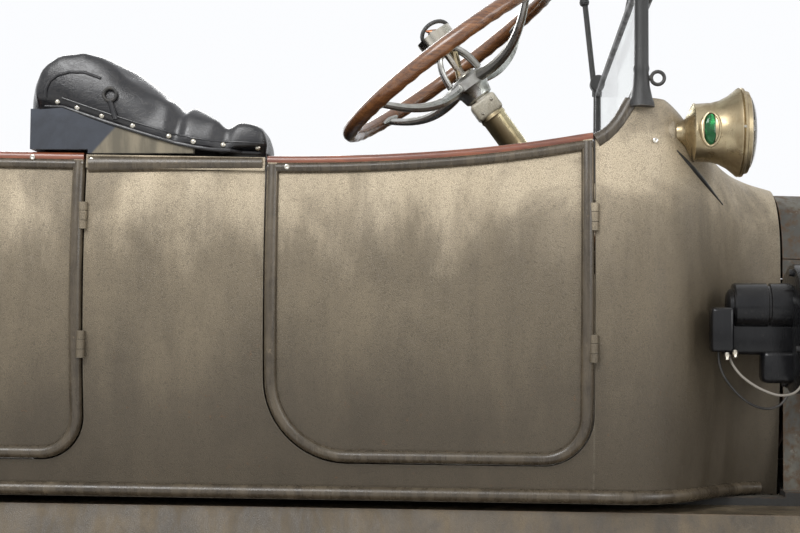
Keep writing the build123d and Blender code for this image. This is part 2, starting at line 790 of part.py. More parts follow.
# Tyre, centred like its wheel, open at the rim
with BuildPart() as tyre:
    with BuildSketch(Plane.XY):
        with Locations((TYRE_RADIUS - TYRE_SECTION, 0)):
            Circle(TYRE_SECTION)
        with Locations((RIM_RADIUS - 100, 0)):
            Rectangle(200, 300, mode=Mode.SUBTRACT)
    revolve(axis=Axis.Y)

WHEEL_PLACES = (
    # name, axle X, brake drum
    ("front", FRONT_AXLE_X, False),
    ("rear", REAR_AXLE_X, True),
)
for place, axle_x, has_drum in WHEEL_PLACES:
    with BuildPart() as placed_wheel:
        with Locations((axle_x, -HALF_TRACK, AXLE_Z)):
            add(wheel.part)
            if has_drum:
                add(drum.part)
    with BuildPart() as placed_tyre:
        with Locations((axle_x, -HALF_TRACK, AXLE_Z)):
            add(tyre.part)
    save(placed_wheel.part, f"wheel_{place}_right")
    save(left_of(placed_wheel.part), f"wheel_{place}_left")
    save(placed_tyre.part, f"tyre_{place}_right")
    save(left_of(placed_tyre.part), f"tyre_{place}_left")

# Frame: channel rails, drooping front horns, cross members
rail_low = RAIL_TOP - RAIL_DEPTH
rail_inner = RAIL_OUTER_Y - RAIL_WIDTH
rail_mid = RAIL_OUTER_Y - RAIL_WIDTH / 2
straight_rail = end_prism(
    (
        (-RAIL_OUTER_Y, rail_low),
        (-RAIL_OUTER_Y, RAIL_TOP),
        (-rail_inner, RAIL_TOP),
        (-rail_inner, RAIL_TOP - RAIL_THICK),
        (-RAIL_OUTER_Y + RAIL_THICK, RAIL_TOP - RAIL_THICK),
        (-RAIL_OUTER_Y + RAIL_THICK, rail_low + RAIL_THICK),
        (-rail_inner, rail_low + RAIL_THICK),
        (-rail_inner, rail_low),
    ),
    (RAIL_REAR_X, RAIL_FRONT_X),
)
with BuildPart() as front_horn:
    with BuildSketch(Plane.XZ.offset(rail_inner)):
        with BuildLine():
            top_run = Line((RAIL_FRONT_X, rail_low), (RAIL_FRONT_X, RAIL_TOP))
            drop = TangentArc(top_run @ 1, (HORN_TIP_X + 8, EYE_Z + EYE_RADIUS + 6), tangent=(1, 0))
            Line(drop @ 1, (HORN_TIP_X + 8, EYE_Z + EYE_RADIUS - 6))
            low_start = (RAIL_FRONT_X, rail_low)
            Line((HORN_TIP_X + 8, EYE_Z + EYE_RADIUS - 6), (HORN_TIP_X - 60, EYE_Z + EYE_RADIUS + 4))
            Line((HORN_TIP_X - 60, EYE_Z + EYE_RADIUS + 4), low_start)
        make_face()
    extrude(amount=RAIL_WIDTH)
CROSS_XS = (-1900.0, -1240.0, -560.0, 180.0, 560.0)
cross_members = joined(*[
    block((x - CROSS_WIDE / 2, x + CROSS_WIDE / 2), (-rail_inner - 20, rail_inner + 20),
          (RAIL_TOP - RAIL_THICK - CROSS_DEEP, RAIL_TOP - RAIL_THICK))
    for x in CROSS_XS
], block(
    (RADIATOR_REAR_X + 10, RADIATOR_FRONT_X - 10),
    (-rail_inner - 20, rail_inner + 20),
    (RADIATOR_BOTTOM - 36, RADIATOR_BOTTOM - CLEAR),
))
hood_ledge = plan_prism(
    (
        (COWL_FRONT_X + 4, -RAIL_OUTER_Y),
        (RADIATOR_FRONT_X, -RAIL_OUTER_Y),
        (RADIATOR_FRONT_X, -HOOD_FRONT_HALF - 2),
        (HOOD_FRONT_X + 1, -HOOD_FRONT_HALF - 2),
        (HOOD_FRONT_X + 1, -HOOD_FRONT_HALF + 30),
        (COWL_FRONT_X + 4, -HOOD_REAR_HALF + 30),
    ),
    (RAIL_TOP, HOOD_BOTTOM - CLEAR),
)


def front_leaf_z(dx):
    """Height of the front main leaf's underside at a distance from the axle."""
    pack = BEAM_TOP + LEAF_THICK * (FRONT_SPRING_LEAVES - 1)
    return pack + (EYE_Z - pack) * (dx / FRONT_SPRING_HALF) ** 2


def spring(centre_x, y, half, leaves, pack_low, eye_z):
    """Half-elliptic leaf spring on the right side, with an eye at each end."""
    low = pack_low + LEAF_THICK * (leaves - 1)
    rise = eye_z - low
    radius = (half**2 + rise**2) / (2 * rise)
    with BuildPart() as pack:
        for leaf in range(leaves):
            reach = half * (1 - leaf / (leaves + 0.6))
            inner = radius + LEAF_THICK * (leaf - 1)
            with BuildSketch(Plane.XZ.offset(y - LEAF_WIDTH / 2)):
                with Locations((centre_x, low + radius)):
                    Circle(inner + LEAF_THICK)
                    Circle(inner, mode=Mode.SUBTRACT)
                with Locations((centre_x, low)):
                    Rectangle(2 * reach, 4 * rise + 60, mode=Mode.INTERSECT)
            extrude(amount=LEAF_WIDTH)
        with BuildSketch(Plane.XZ.offset(y - LEAF_WIDTH / 2)):
            with Locations((centre_x - half, eye_z), (centre_x + half, eye_z)):
                Circle(EYE_RADIUS)
        extrude(amount=LEAF_WIDTH)
        with BuildSketch(Plane.XZ.offset(y - LEAF_WIDTH / 2)):
            with Locations((centre_x - half, eye_z), (centre_x + half, eye_z)):
                Circle(EYE_RADIUS - 6)
        extrude(amount=LEAF_WIDTH, mode=Mode.SUBTRACT)
    return pack.part


front_spring = spring(
    FRONT_AXLE_X, rail_mid, FRONT_SPRING_HALF, FRONT_SPRING_LEAVES, BEAM_TOP, EYE_Z
)
rear_spring = spring(
    REAR_AXLE_X, REAR_SPRING_Y, REAR_SPRING_HALF, REAR_SPRING_LEAVES, AXLE_Z + AXLE_TUBE_RADIUS, REAR_EYE_Z
)
springs = both_sides(joined(front_spring, rear_spring))
save(springs, "springs")


def hanger(x, y_span, top_z, eye_z, width=30.0):
    """A pair of cheek plates round a spring eye, with the pin through it."""
    inner, outer = y_span
    cheeks = joined(
        block((x - width / 2, x + width / 2), (inner - 8, inner), (eye_z - 16, top_z)),
        block((x - width / 2, x + width / 2), (outer, outer + 8), (eye_z - 16, top_z)),
        block((x - width / 2, x + width / 2), (inner - 8, outer + 8), (top_z - 6, top_z)),
    )
    pin_start = (x, inner - 8, eye_z)
    return joined(cheeks, rod(pin_start, (x, outer + 8, eye_z), EYE_RADIUS - 6 - CLEAR))


front_cheeks = (-rail_mid - LEAF_WIDTH / 2 - CLEAR, -rail_mid + LEAF_WIDTH / 2 + CLEAR)
rear_cheeks = (-REAR_SPRING_Y - LEAF_WIDTH / 2 - CLEAR, -REAR_SPRING_Y + LEAF_WIDTH / 2 + CLEAR)
front_eye_room = block(
    (HORN_TIP_X - 60, HORN_TIP_X + 60), (-rail_mid - 23, -rail_mid + 23), (EYE_Z - 30, EYE_Z + EYE_RADIUS + 2)
)
hangers = joined(
    hanger(HORN_TIP_X, front_cheeks, EYE_Z + EYE_RADIUS + 10, EYE_Z),
    hanger(FRONT_AXLE_X - FRONT_SPRING_HALF, front_cheeks, rail_low + 2, EYE_Z),
    hanger(REAR_AXLE_X + REAR_SPRING_HALF, rear_cheeks, REAR_EYE_Z + 30, REAR_EYE_Z),
    hanger(REAR_AXLE_X - REAR_SPRING_HALF, rear_cheeks, REAR_EYE_Z + 30, REAR_EYE_Z),
)
shaft_hole = rod((PITMAN_X, -RAIL_OUTER_Y - 20, DRAG_Z + PITMAN_LENGTH), (PITMAN_X, 0, DRAG_Z + PITMAN_LENGTH), 13)
frame = joined(
    both_sides(
        joined(
            without(joined(straight_rail, front_horn.part), front_eye_room),
            hangers,
            hood_ledge,
        )
    ),
    cross_members,
)

# Front axle: dropped bar with open forks round the kingpins
fork_top = AXLE_Z + FORK_HALF_GAP + FORK_LUG
fork_low = AXLE_Z - FORK_HALF_GAP - FORK_LUG
fork_post_outer = KINGPIN_Y - KINGPIN_BOSS - 2
fork_post_inner = fork_post_outer - 22
beam_end = end_prism(
    (
        (0, BEAM_TOP),
        (-fork_post_inner + 60, BEAM_TOP),
        (-fork_post_inner, fork_top),
        (-fork_post_outer, fork_top),
        (-fork_post_outer, fork_low),
        (-fork_post_inner + 60, BEAM_TOP - BEAM_DEEP),
        (0, BEAM_TOP - BEAM_DEEP),
    ),
    (FRONT_AXLE_X - 16, FRONT_AXLE_X + 16),
)
fork_lugs = joined(
    block((FRONT_AXLE_X - 14, FRONT_AXLE_X + 14), (-KINGPIN_Y, -fork_post_inner), (AXLE_Z + FORK_HALF_GAP, fork_top)),
    block((FRONT_AXLE_X - 14, FRONT_AXLE_X + 14), (-KINGPIN_Y, -fork_post_inner), (fork_low, AXLE_Z - FORK_HALF_GAP)),
    rod((FRONT_AXLE_X, -KINGPIN_Y, fork_low), (FRONT_AXLE_X, -KINGPIN_Y, AXLE_Z - FORK_HALF_GAP), KINGPIN_BOSS),
    rod((FRONT_AXLE_X, -KINGPIN_Y, AXLE_Z + FORK_HALF_GAP), (FRONT_AXLE_X, -KINGPIN_Y, fork_top), KINGPIN_BOSS),
    rod((FRONT_AXLE_X, -KINGPIN_Y, fork_low), (FRONT_AXLE_X, -KINGPIN_Y, fork_top), KINGPIN_RADIUS),
)
spring_pad = block(
    (FRONT_AXLE_X - 40, FRONT_AXLE_X + 40), (-rail_mid - 30, -rail_mid + 30), (BEAM_TOP - BEAM_DEEP, BEAM_TOP)
)
front_axle = both_sides(joined(beam_end, fork_lugs, spring_pad))
save(front_axle, "front_axle")

# Knuckle: barrel on the kingpin, spindle outwards, steering arm backwards
arm_low = AXLE_Z - 28
arm_top = arm_low + 16
knuckle_core = without(
    joined(
        rod(
            (FRONT_AXLE_X, -KINGPIN_Y, AXLE_Z - FORK_HALF_GAP + CLEAR),
            (FRONT_AXLE_X, -KINGPIN_Y, AXLE_Z + FORK_HALF_GAP - CLEAR),
            KINGPIN_BOSS - 2,
        ),
        rod((FRONT_AXLE_X, -KINGPIN_Y - 8, AXLE_Z), (FRONT_AXLE_X, -HALF_TRACK + HUB_INNER_REACH + 1, AXLE_Z), 26),
        rod((FRONT_AXLE_X, -KINGPIN_Y - 8, AXLE_Z), (FRONT_AXLE_X, -HALF_TRACK - SPINDLE_REACH, AXLE_Z), SPINDLE_RADIUS),
        block((FRONT_AXLE_X - TIE_ARM, FRONT_AXLE_X - 16), (-KINGPIN_Y - 8, -KINGPIN_Y + 8), (arm_low, arm_top)),
        rod(
            (FRONT_AXLE_X - TIE_ARM, -KINGPIN_Y, arm_low),
            (FRONT_AXLE_X - TIE_ARM, -KINGPIN_Y, arm_top),
            14,
        ),
        rod(
            (FRONT_AXLE_X - TIE_ARM, -KINGPIN_Y, TIE_Z - 11),
            (FRONT_AXLE_X - TIE_ARM, -KINGPIN_Y, arm_top),
            TIE_PIN_RADIUS,
        ),
    ),
    rod(
        (FRONT_AXLE_X, -KINGPIN_Y, fork_low),
        (FRONT_AXLE_X, -KINGPIN_Y, fork_top),
        KINGPIN_RADIUS + CLEAR,
    ),
)
drag_bar_low = DRAG_Z - 7 - CLEAR - 12
riser_x = FRONT_AXLE_X - 55
drag_arm = joined(
    block((riser_x - 8, riser_x + 8), (-KINGPIN_Y - 8, -KINGPIN_Y + 8), (arm_low, drag_bar_low + 12)),
    plan_prism(
        (
            (riser_x - 8, -KINGPIN_Y - 8),
            (riser_x + 8, -KINGPIN_Y - 8),
            (FRONT_AXLE_X + 9, -KINGPIN_Y + DRAG_ARM - 6),
            (FRONT_AXLE_X - 9, -KINGPIN_Y + DRAG_ARM + 4),
        ),
        (drag_bar_low, drag_bar_low + 12),
    ),
    rod(
        (FRONT_AXLE_X, -KINGPIN_Y + DRAG_ARM, drag_bar_low),
        (FRONT_AXLE_X, -KINGPIN_Y + DRAG_ARM, drag_bar_low + 12),
        13,
    ),
    rod(
        (FRONT_AXLE_X, -KINGPIN_Y + DRAG_ARM, drag_bar_low),
        (FRONT_AXLE_X, -KINGPIN_Y + DRAG_ARM, drag_bar_low + 54),
        DRAG_PIN_RADIUS,
    ),
)
knuckle_left = left_of(knuckle_core)
knuckle_right = joined(knuckle_core, drag_arm)
save(knuckle_left, "knuckle_left")
save(knuckle_right, "knuckle_right")

# Tie rod behind the axle
tie_x = FRONT_AXLE_X - TIE_ARM
tie_top = arm_low - CLEAR
tie_low = tie_top - 22
tie_eye = without(
    joined(
        rod((tie_x, -KINGPIN_Y, tie_low), (tie_x, -KINGPIN_Y, tie_top), 15),
        rod((tie_x, 0, (tie_low + tie_top) / 2), (tie_x, -KINGPIN_Y + 8, (tie_low + tie_top) / 2), 10),
    ),
    rod((tie_x, -KINGPIN_Y, tie_low - 5), (tie_x, -KINGPIN_Y, tie_top + 5), TIE_PIN_RADIUS + CLEAR),
)
tie_rod = both_sides(tie_eye)
save(tie_rod, "tie_rod")

# Steering box, column, drop arm and drag link
shaft_z = DRAG_Z + PITMAN_LENGTH
drag_y = -KINGPIN_Y + DRAG_ARM
column_stop = Vector(*COLUMN_TOP) + column_dir * 34
quadrant_top = Vector(*COLUMN_TOP) - column_dir * 62
steering_column = joined(
    rod(tuple(column_stop), COLUMN_FOOT, COLUMN_RADIUS),
    rod(tuple(quadrant_top), COLUMN_FOOT, 7),
    block((650, PITMAN_X + 40), (-rail_inner + CLEAR, -235), (rail_low + 8, RAIL_TOP - 2)),
    rod((PITMAN_X, -rail_inner + 10, shaft_z), (PITMAN_X, drag_y - 8, shaft_z), 9),
)
pitman_arm = without(
    joined(
        rod((PITMAN_X, drag_y + 16, shaft_z), (PITMAN_X, drag_y + 2, shaft_z), 17),
        side_prism(
            (
                (PITMAN_X - 11, shaft_z),
                (PITMAN_X + 11, shaft_z),
                (PITMAN_X + 8, DRAG_Z),
                (PITMAN_X - 8, DRAG_Z),
            ),
            (drag_y + 14, drag_y + 4 + 0.0),
        ),
        rod((PITMAN_X, drag_y + 14, DRAG_Z), (PITMAN_X, drag_y + 4, DRAG_Z), 12),
        rod((PITMAN_X, drag_y + 14, DRAG_Z), (PITMAN_X, drag_y - 12, DRAG_Z), DRAG_PIN_RADIUS),
    ),
    rod((PITMAN_X, 0, shaft_z), (PITMAN_X, drag_y - 20, shaft_z), 9 + CLEAR),
)
link_low = DRAG_Z - 7
link_top = DRAG_Z + 7
link_eye_y = drag_y - DRAG_EYE_OFFSET
drag_link = without(
    joined(
        rod((PITMAN_X, drag_y + 3.6, DRAG_Z), (PITMAN_X, drag_y - 11, DRAG_Z), 14),
        rod((PITMAN_X + 8, drag_y - 4, DRAG_Z), (FRONT_AXLE_X - DRAG_EYE_INNER - 3, drag_y - 4, DRAG_Z), 6.5),
        rod((FRONT_AXLE_X, link_eye_y, link_low), (FRONT_AXLE_X, link_eye_y, link_top), DRAG_EYE_INNER + 7),
    ),
    rod((FRONT_AXLE_X, link_eye_y, link_low - 5), (FRONT_AXLE_X, link_eye_y, link_top + 5), DRAG_EYE_INNER),
    rod((PITMAN_X, drag_y + 20, DRAG_Z), (PITMAN_X, drag_y - 20, DRAG_Z), DRAG_PIN_RADIUS + CLEAR),
)
save(pitman_arm, "pitman_arm")
save(drag_link, "drag_link")
frame = without(frame, shaft_hole)
save(frame, "frame")

# Steering wheel, square to its column
wheel_plane = Plane(origin=COLUMN_TOP, x_dir=(0, 1, 0), z_dir=-column_dir)
with BuildPart() as steering_wheel:
    with BuildSketch(Plane(origin=COLUMN_TOP, x_dir=wheel_plane.x_dir, z_dir=wheel_plane.y_dir)):
        with Locations((RIM_MAJOR, 0)):
            Circle(RIM_MINOR)
    revolve(axis=Axis(COLUMN_TOP, -column_dir))
    with BuildSketch(wheel_plane.offset(-30)):
        Circle(36)
    extrude(amount=38)
    with BuildSketch(wheel_plane.offset(-6)):
        with PolarLocations(0, 4, start_angle=45):
            with BuildLine():
                Polyline((30, -11), (RIM_MAJOR - 6, -8), (RIM_MAJOR - 6, 8), (30, 11), close=True)
            make_face()
    extrude(amount=10)
    with BuildSketch(wheel_plane.offset(-60)):
        Circle(7 + CLEAR)
    extrude(amount=120, mode=Mode.SUBTRACT)
save(steering_wheel.part, "steering_wheel")

# Fixed levers over the wheel's centre
with BuildPart() as quadrant:
    with BuildSketch(wheel_plane.offset(14)):
        Circle(34)
        Circle(7, mode=Mode.SUBTRACT)
    extrude(amount=42)
    with BuildSketch(wheel_plane.offset(40)):
        with PolarLocations(0, 2, start_angle=70, angular_range=60, endpoint=True):
            with BuildLine():
                Polyline((20, -5), (118, -4), (118, 4), (20, 5), close=True)
            make_face()
    extrude(amount=7)
steering_column = joined(steering_column, quadrant.part)
save(steering_column, "steering_column")

# Fenders
FENDER_TIP_ANGLE = degrees(acos((HALF_LENGTH - FRONT_AXLE_X) / FENDER_RADIUS))


def fender_section(inner_y, plane):
    """Crowned strip: local x is the distance from the axle, local y runs outwards."""
    mid = (inner_y + FENDER_OUTER_Y) / 2
    low = FENDER_RADIUS - FENDER_CROWN
    with BuildSketch(plane) as strip:
        with BuildLine():
            ThreePointArc((low, inner_y), (FENDER_RADIUS, mid), (low, FENDER_OUTER_Y))
            Line((low, FENDER_OUTER_Y), (low - FENDER_THICK, FENDER_OUTER_Y))
            ThreePointArc(
                (low - FENDER_THICK, FENDER_OUTER_Y), (FENDER_RADIUS - FENDER_THICK, mid), (low - FENDER_THICK, inner_y)
            )
            Line((low - FENDER_THICK, inner_y), (low, inner_y))
        make_face()
    return strip.sketch


def fender_arc(axle_x, inner_y, start, end):
    """A length of fender concentric with a wheel, between two angles from the front."""
    turn = radians(start)
    outwards = (cos(turn), 0, sin(turn))
    plane = Plane(origin=(axle_x, 0, AXLE_Z), x_dir=outwards, z_dir=Vector(*outwards).cross(Vector(0, -1, 0)))
    with BuildPart() as arc:
        revolve(
            fender_section(inner_y, plane),
            axis=Axis((axle_x, 0, AXLE_Z), (0, -1, 0)),
            revolution_arc=end - start,
        )
    return arc.part


leave = radians(FENDER_LEAVE_ANGLE)
leave_x = FRONT_AXLE_X + FENDER_RADIUS * cos(leave)
leave_z = AXLE_Z + FENDER_RADIUS * sin(leave)
slope_dir = (-sin(leave), cos(leave))
foot_turn = 180 - FENDER_LEAVE_ANGLE
drop_in_sweep = FENDER_SWEEP_RADIUS * (1 - cos(radians(90 - (180 - FENDER_LEAVE_ANGLE))))
straight_run = (leave_z - BOARD_TOP - drop_in_sweep) / -slope_dir[1]
BOARD_FRONT_X = (
    leave_x + slope_dir[0] * straight_run - FENDER_SWEEP_RADIUS * sin(radians(90 - (180 - FENDER_LEAVE_ANGLE)))
)
run_plane = Plane(
    origin=(FRONT_AXLE_X, 0, AXLE_Z), x_dir=(cos(leave), 0, sin(leave)), z_dir=(sin(leave), 0, -cos(leave))
)
sweep_centre = (
    FRONT_AXLE_X + slope_dir[0] * straight_run + (FENDER_RADIUS + FENDER_SWEEP_RADIUS) * cos(leave),
    AXLE_Z + slope_dir[1] * straight_run + (FENDER_RADIUS + FENDER_SWEEP_RADIUS) * sin(leave),
)
run_end = run_plane.offset(-straight_run)
with BuildPart() as front_fender:
    add(fender_arc(FRONT_AXLE_X, FENDER_INNER_Y, FENDER_TIP_ANGLE, FENDER_LEAVE_ANGLE))
    extrude(fender_section(FENDER_INNER_Y, run_plane), amount=-straight_run)
    revolve(
        fender_section(FENDER_INNER_Y, run_end),
        axis=Axis((sweep_centre[0], 0, sweep_centre[1]), (0, 1, 0)),
        revolution_arc=90 - (180 - FENDER_LEAVE_ANGLE),
    )
front_iron = joined(
    rod((1150, -RAIL_OUTER_Y - CLEAR, 600), (1150, -700, 668), 10),
)
iron_under = block((1100, 1200), (-FENDER_OUTER_Y, -FENDER_INNER_Y), (400, 668 - 8))
FRONT_IRONS = (
    # start and end of each round stay
    ((1150, -RAIL_OUTER_Y - 3, 600), (1150, -700, 664)),
    ((1690, -RAIL_OUTER_Y - 11, 612), (1690, -560, 912)),
    ((1690, -560, 912), (1690, -700, 926)),
)
fender_void = joined(
    fender_arc(FRONT_AXLE_X, FENDER_INNER_Y, FENDER_TIP_ANGLE, FENDER_LEAVE_ANGLE),
)
front_fenders = both_sides(joined(front_fender.part, *[rod(a, b, 10) for a, b in FRONT_IRONS]))
save(front_fenders, "front_fenders")

rear_start = degrees(asin((BOARD_TOP - BOARD_THICK - AXLE_Z) / (FENDER_RADIUS - FENDER_CROWN - FENDER_THICK)))
rear_fender = without(
    fender_arc(REAR_AXLE_X, REAR_FENDER_INNER_Y, rear_start, REAR_FENDER_END_ANGLE),
    side_band(COWL_START_X, TURN_X - 300, RAIL_TOP, WALL_UNCUT_TOP, SILL_BEAD_PROUD + CLEAR, -500),
)
rear_fenders = both_sides(
    joined(rear_fender, rod((REAR_AXLE_X - 300, -RAIL_OUTER_Y - 7, 600), (REAR_AXLE_X - 300, -700, 826), 10))
)
save(rear_fenders, "rear_fenders")

# Running boards on angle irons from the frame
BOARD_REAR_X = REAR_AXLE_X + FENDER_RADIUS + CLEAR
board = block(
    (BOARD_REAR_X, BOARD_FRONT_X - CLEAR), (-FENDER_OUTER_Y, -BOARD_INNER_Y), (BOARD_TOP - BOARD_THICK, BOARD_TOP)
)
board_low = BOARD_TOP - BOARD_THICK
board_irons = [
    end_prism(
        (
            (-RAIL_OUTER_Y, rail_low + 70),
            (-RAIL_OUTER_Y - 9, rail_low + 70),
            (-RAIL_OUTER_Y - 9, board_low),
            (-FENDER_OUTER_Y + 30, board_low),
            (-FENDER_OUTER_Y + 30, board_low - 6),
            (-RAIL_OUTER_Y - 30, board_low - 16),
            (-RAIL_OUTER_Y, board_low - 6),
        ),
        (x - 20, x + 20),
    )
    for x in BOARD_IRON_XS
]
running_boards = both_sides(joined(board, *board_irons))
save(running_boards, "running_boards")

# Splash aprons between the body and the running boards
APRON_REAR_X = REAR_AXLE_X + FENDER_RADIUS + 8
apron = end_prism(
    (
        (-RAIL_OUTER_Y - CLEAR, APRON_TOP_Z),
        (-APRON_TOP_Y, APRON_TOP_Z),
        (-BOARD_INNER_Y, BOARD_TOP + CLEAR),
        (-BOARD_INNER_Y + APRON_THICK, BOARD_TOP + CLEAR),
        (-APRON_TOP_Y + APRON_THICK, APRON_TOP_Z - APRON_THICK),
        (-RAIL_OUTER_Y - CLEAR, APRON_TOP_Z - APRON_THICK),
    ),
    (APRON_REAR_X, BOARD_FRONT_X - 2),
)
apron = without(apron, *[
    block((x - 20 - CLEAR, x + 20 + CLEAR), (-RAIL_OUTER_Y - 9 - CLEAR, -RAIL_OUTER_Y), (APRON_TOP_Z - 20, APRON_TOP_Z + 5))
    for x in BOARD_IRON_XS
])
apron = without(apron, block((PITMAN_X - 26, PITMAN_X + 26), (drag_y - 24, -RAIL_OUTER_Y), (560, RAIL_TOP + 5)))
aprons = both_sides(apron)
save(aprons, "aprons")

# Rear axle, its housing and torque tube
tube_reach = HALF_TRACK - HUB_INNER_REACH - 6
plate_y = HALF_TRACK - (SPOKE_THICK / 2 + HUB_FLANGE_THICK + DRUM_WIDTH) - 6
with BuildPart() as rear_axle:
    with Locations((REAR_AXLE_X, 0, AXLE_Z)):
        Cylinder(AXLE_TUBE_RADIUS, 2 * plate_y, rotation=(90, 0, 0))
        Cylinder(SPINDLE_RADIUS, 2 * (HALF_TRACK + SPINDLE_REACH), rotation=(90, 0, 0))
        Sphere(135)
    with Locations((REAR_AXLE_X, -plate_y - 3, AXLE_Z), (REAR_AXLE_X, plate_y + 3, AXLE_Z)):
        Cylinder(DRUM_RADIUS - DRUM_WALL - 4, 6, rotation=(90, 0, 0))
    with Locations((REAR_AXLE_X, -plate_y - 12, AXLE_Z), (REAR_AXLE_X, plate_y + 12, AXLE_Z)):
        Cylinder(28, 22, rotation=(90, 0, 0))
GEARBOX_REAR_X = 60.0
torque_tube = rod((REAR_AXLE_X + 100, 0, AXLE_Z), (GEARBOX_REAR_X - 3, 0, 520), 34)
rear_axle = joined(rear_axle.part, torque_tube)
save(rear_axle, "rear_axle")

# Engine and gearbox
with BuildPart() as engine:
    for x_span, y_half, z_span in (
        ((GEARBOX_REAR_X, 420.0), 120.0, (430.0, 622.0)),
        ((420.0, 700.0), 170.0, (420.0, 628.0)),
        ((700.0, 1470.0), 150.0, (430.0, 640.0)),
        ((760.0, 1060.0), 95.0, (640.0, 930.0)),
        ((1100.0, 1400.0), 95.0, (640.0, 930.0)),
    ):
        with Locations((sum(x_span) / 2, 0, sum(z_span) / 2)):
            Box(x_span[1] - x_span[0], 2 * y_half, z_span[1] - z_span[0])
    with Locations((1500, 0, 800)):
        Cylinder(14, 70, rotation=(0, 90, 0))
    with Locations((1522, 0, 800)):
        Cylinder(190, 14, rotation=(0, 90, 0))
    with Locations((1480, 0, 720)):
        Box(30, 60, 200)
engine_mounts = [
    block((x - 25, x + 25), (-rail_inner - 20, rail_inner + 20), (540, 580)) for x in (870.0, 1360.0)
]
engine = without(
    joined(engine.part, *engine_mounts),
    block((500, 1700), (-rail_inner - 60, -rail_inner + CLEAR), (500, 700)),
    block((500, 1700), (rail_inner - CLEAR, rail_inner + 60), (500, 700)),
    *[
        block((x - CROSS_WIDE / 2 - CLEAR, x + CROSS_WIDE / 2 + CLEAR), (-rail_inner, rail_inner),
              (RAIL_TOP - RAIL_THICK - CROSS_DEEP - CLEAR, RAIL_TOP + 40))
        for x in CROSS_XS
    ],
)
save(engine, "engine")

# Exhaust down the left side
exhaust = joined(
    rod((1380.0, 125.0, 880.0), (800.0, 125.0, 880.0), 24),
    rod((800.0, 125.0, 880.0), (640.0, 250.0, 500.0), 22),
    rod((640.0, 250.0, 500.0), (-1200.0, 250.0, 500.0), 22),
    rod((-260.0, 250.0, 485.0), (-860.0, 250.0, 485.0), 62),
    block((-320, -300), (240, rail_inner - CLEAR), (490, 560)),
)
save(exhaust, "exhaust")

# Windshield: posts on the ears, a lower pane, and an upper pane that leans forward
POST_X = 386.0
POST_Y = 574.0
POST_SIZE = 20.0
SPLIT_Z = 1500.0
UPPER_LEAN = 11.0
UPPER_TALL = 400.0
lean = radians(UPPER_LEAN)
upper_x = POST_X + 34
upper_end = (upper_x + UPPER_TALL * sin(lean), SPLIT_Z + UPPER_TALL * cos(lean))
PANE_HALF_Y = POST_Y - 22


def pane_frame(foot, head, half_y, wide=16.0, thick=14.0):
    """Rectangular frame standing between two X and Z points."""
    run = Vector(head[0] - foot[0], 0, head[1] - foot[1])
    middle = Vector((foot[0] + head[0]) / 2, 0, (foot[1] + head[1]) / 2)
    with BuildPart() as ring:
        with BuildSketch(Plane(origin=middle, x_dir=(0, 1, 0), z_dir=Vector(0, 1, 0).cross(run))):
            Rectangle(2 * half_y, run.length)
            Rectangle(2 * (half_y - wide), run.length - 2 * wide, mode=Mode.SUBTRACT)
        extrude(amount=thick / 2, both=True)
    return ring.part


def pane_glass(foot, head, half_y, wide=16.0, thick=5.0):
    """The glass inside such a frame."""
    run = Vector(head[0] - foot[0], 0, head[1] - foot[1])
    middle = Vector((foot[0] + head[0]) / 2, 0, (foot[1] + head[1]) / 2)
    with BuildPart() as pane:
        with BuildSketch(Plane(origin=middle, x_dir=(0, 1, 0), z_dir=Vector(0, 1, 0).cross(run))):
            Rectangle(2 * (half_y - wide - CLEAR), run.length - 2 * (wide + CLEAR))
        extrude(amount=thick / 2, both=True)
    return pane.part


lower_foot, lower_head = (POST_X, EAR_TOP_Z + 16), (POST_X, SPLIT_Z - 14)
upper_foot, upper_head = (upper_x, SPLIT_Z), upper_end
posts = both_sides(
    joined(
        block(
            (POST_X - POST_SIZE / 2, POST_X + POST_SIZE / 2),
            (-POST_Y - POST_SIZE / 2, -POST_Y + POST_SIZE / 2),
            (EAR_TOP_Z, SPLIT_Z + 20),
        ),
        block((POST_X - 6, POST_X + 6), (-POST_Y, -PANE_HALF_Y), (EAR_TOP_Z + 60, EAR_TOP_Z + 84)),
        rod((POST_X - 12, -POST_Y, SPLIT_Z + 4), (POST_X - 32, -POST_Y, SPLIT_Z + 200), 6),
        block((POST_X - 22, POST_X), (-POST_Y - 6, -POST_Y + 6), (SPLIT_Z - 4, SPLIT_Z + 12)),
        rod((POST_X, -POST_Y - 16, SPLIT_Z + 6), (POST_X, -POST_Y + 20, SPLIT_Z + 6), 20),
        rod((upper_x, -POST_Y - 16, SPLIT_Z), (upper_x, -PANE_HALF_Y + 6, SPLIT_Z), 18),
        block((POST_X, upper_x), (-POST_Y - 6, -POST_Y + 6), (SPLIT_Z - 12, SPLIT_Z + 12)),
    )
)
windshield_frame = joined(
    posts,
    pane_frame(lower_foot, lower_head, PANE_HALF_Y),
    pane_frame(upper_foot, upper_head, PANE_HALF_Y),
)
save(windshield_frame, "windshield_frame")
windshield_glass = joined(
    pane_glass(lower_foot, lower_head, PANE_HALF_Y), pane_glass(upper_foot, upper_head, PANE_HALF_Y)
)
save(windshield_glass, "windshield_glass")

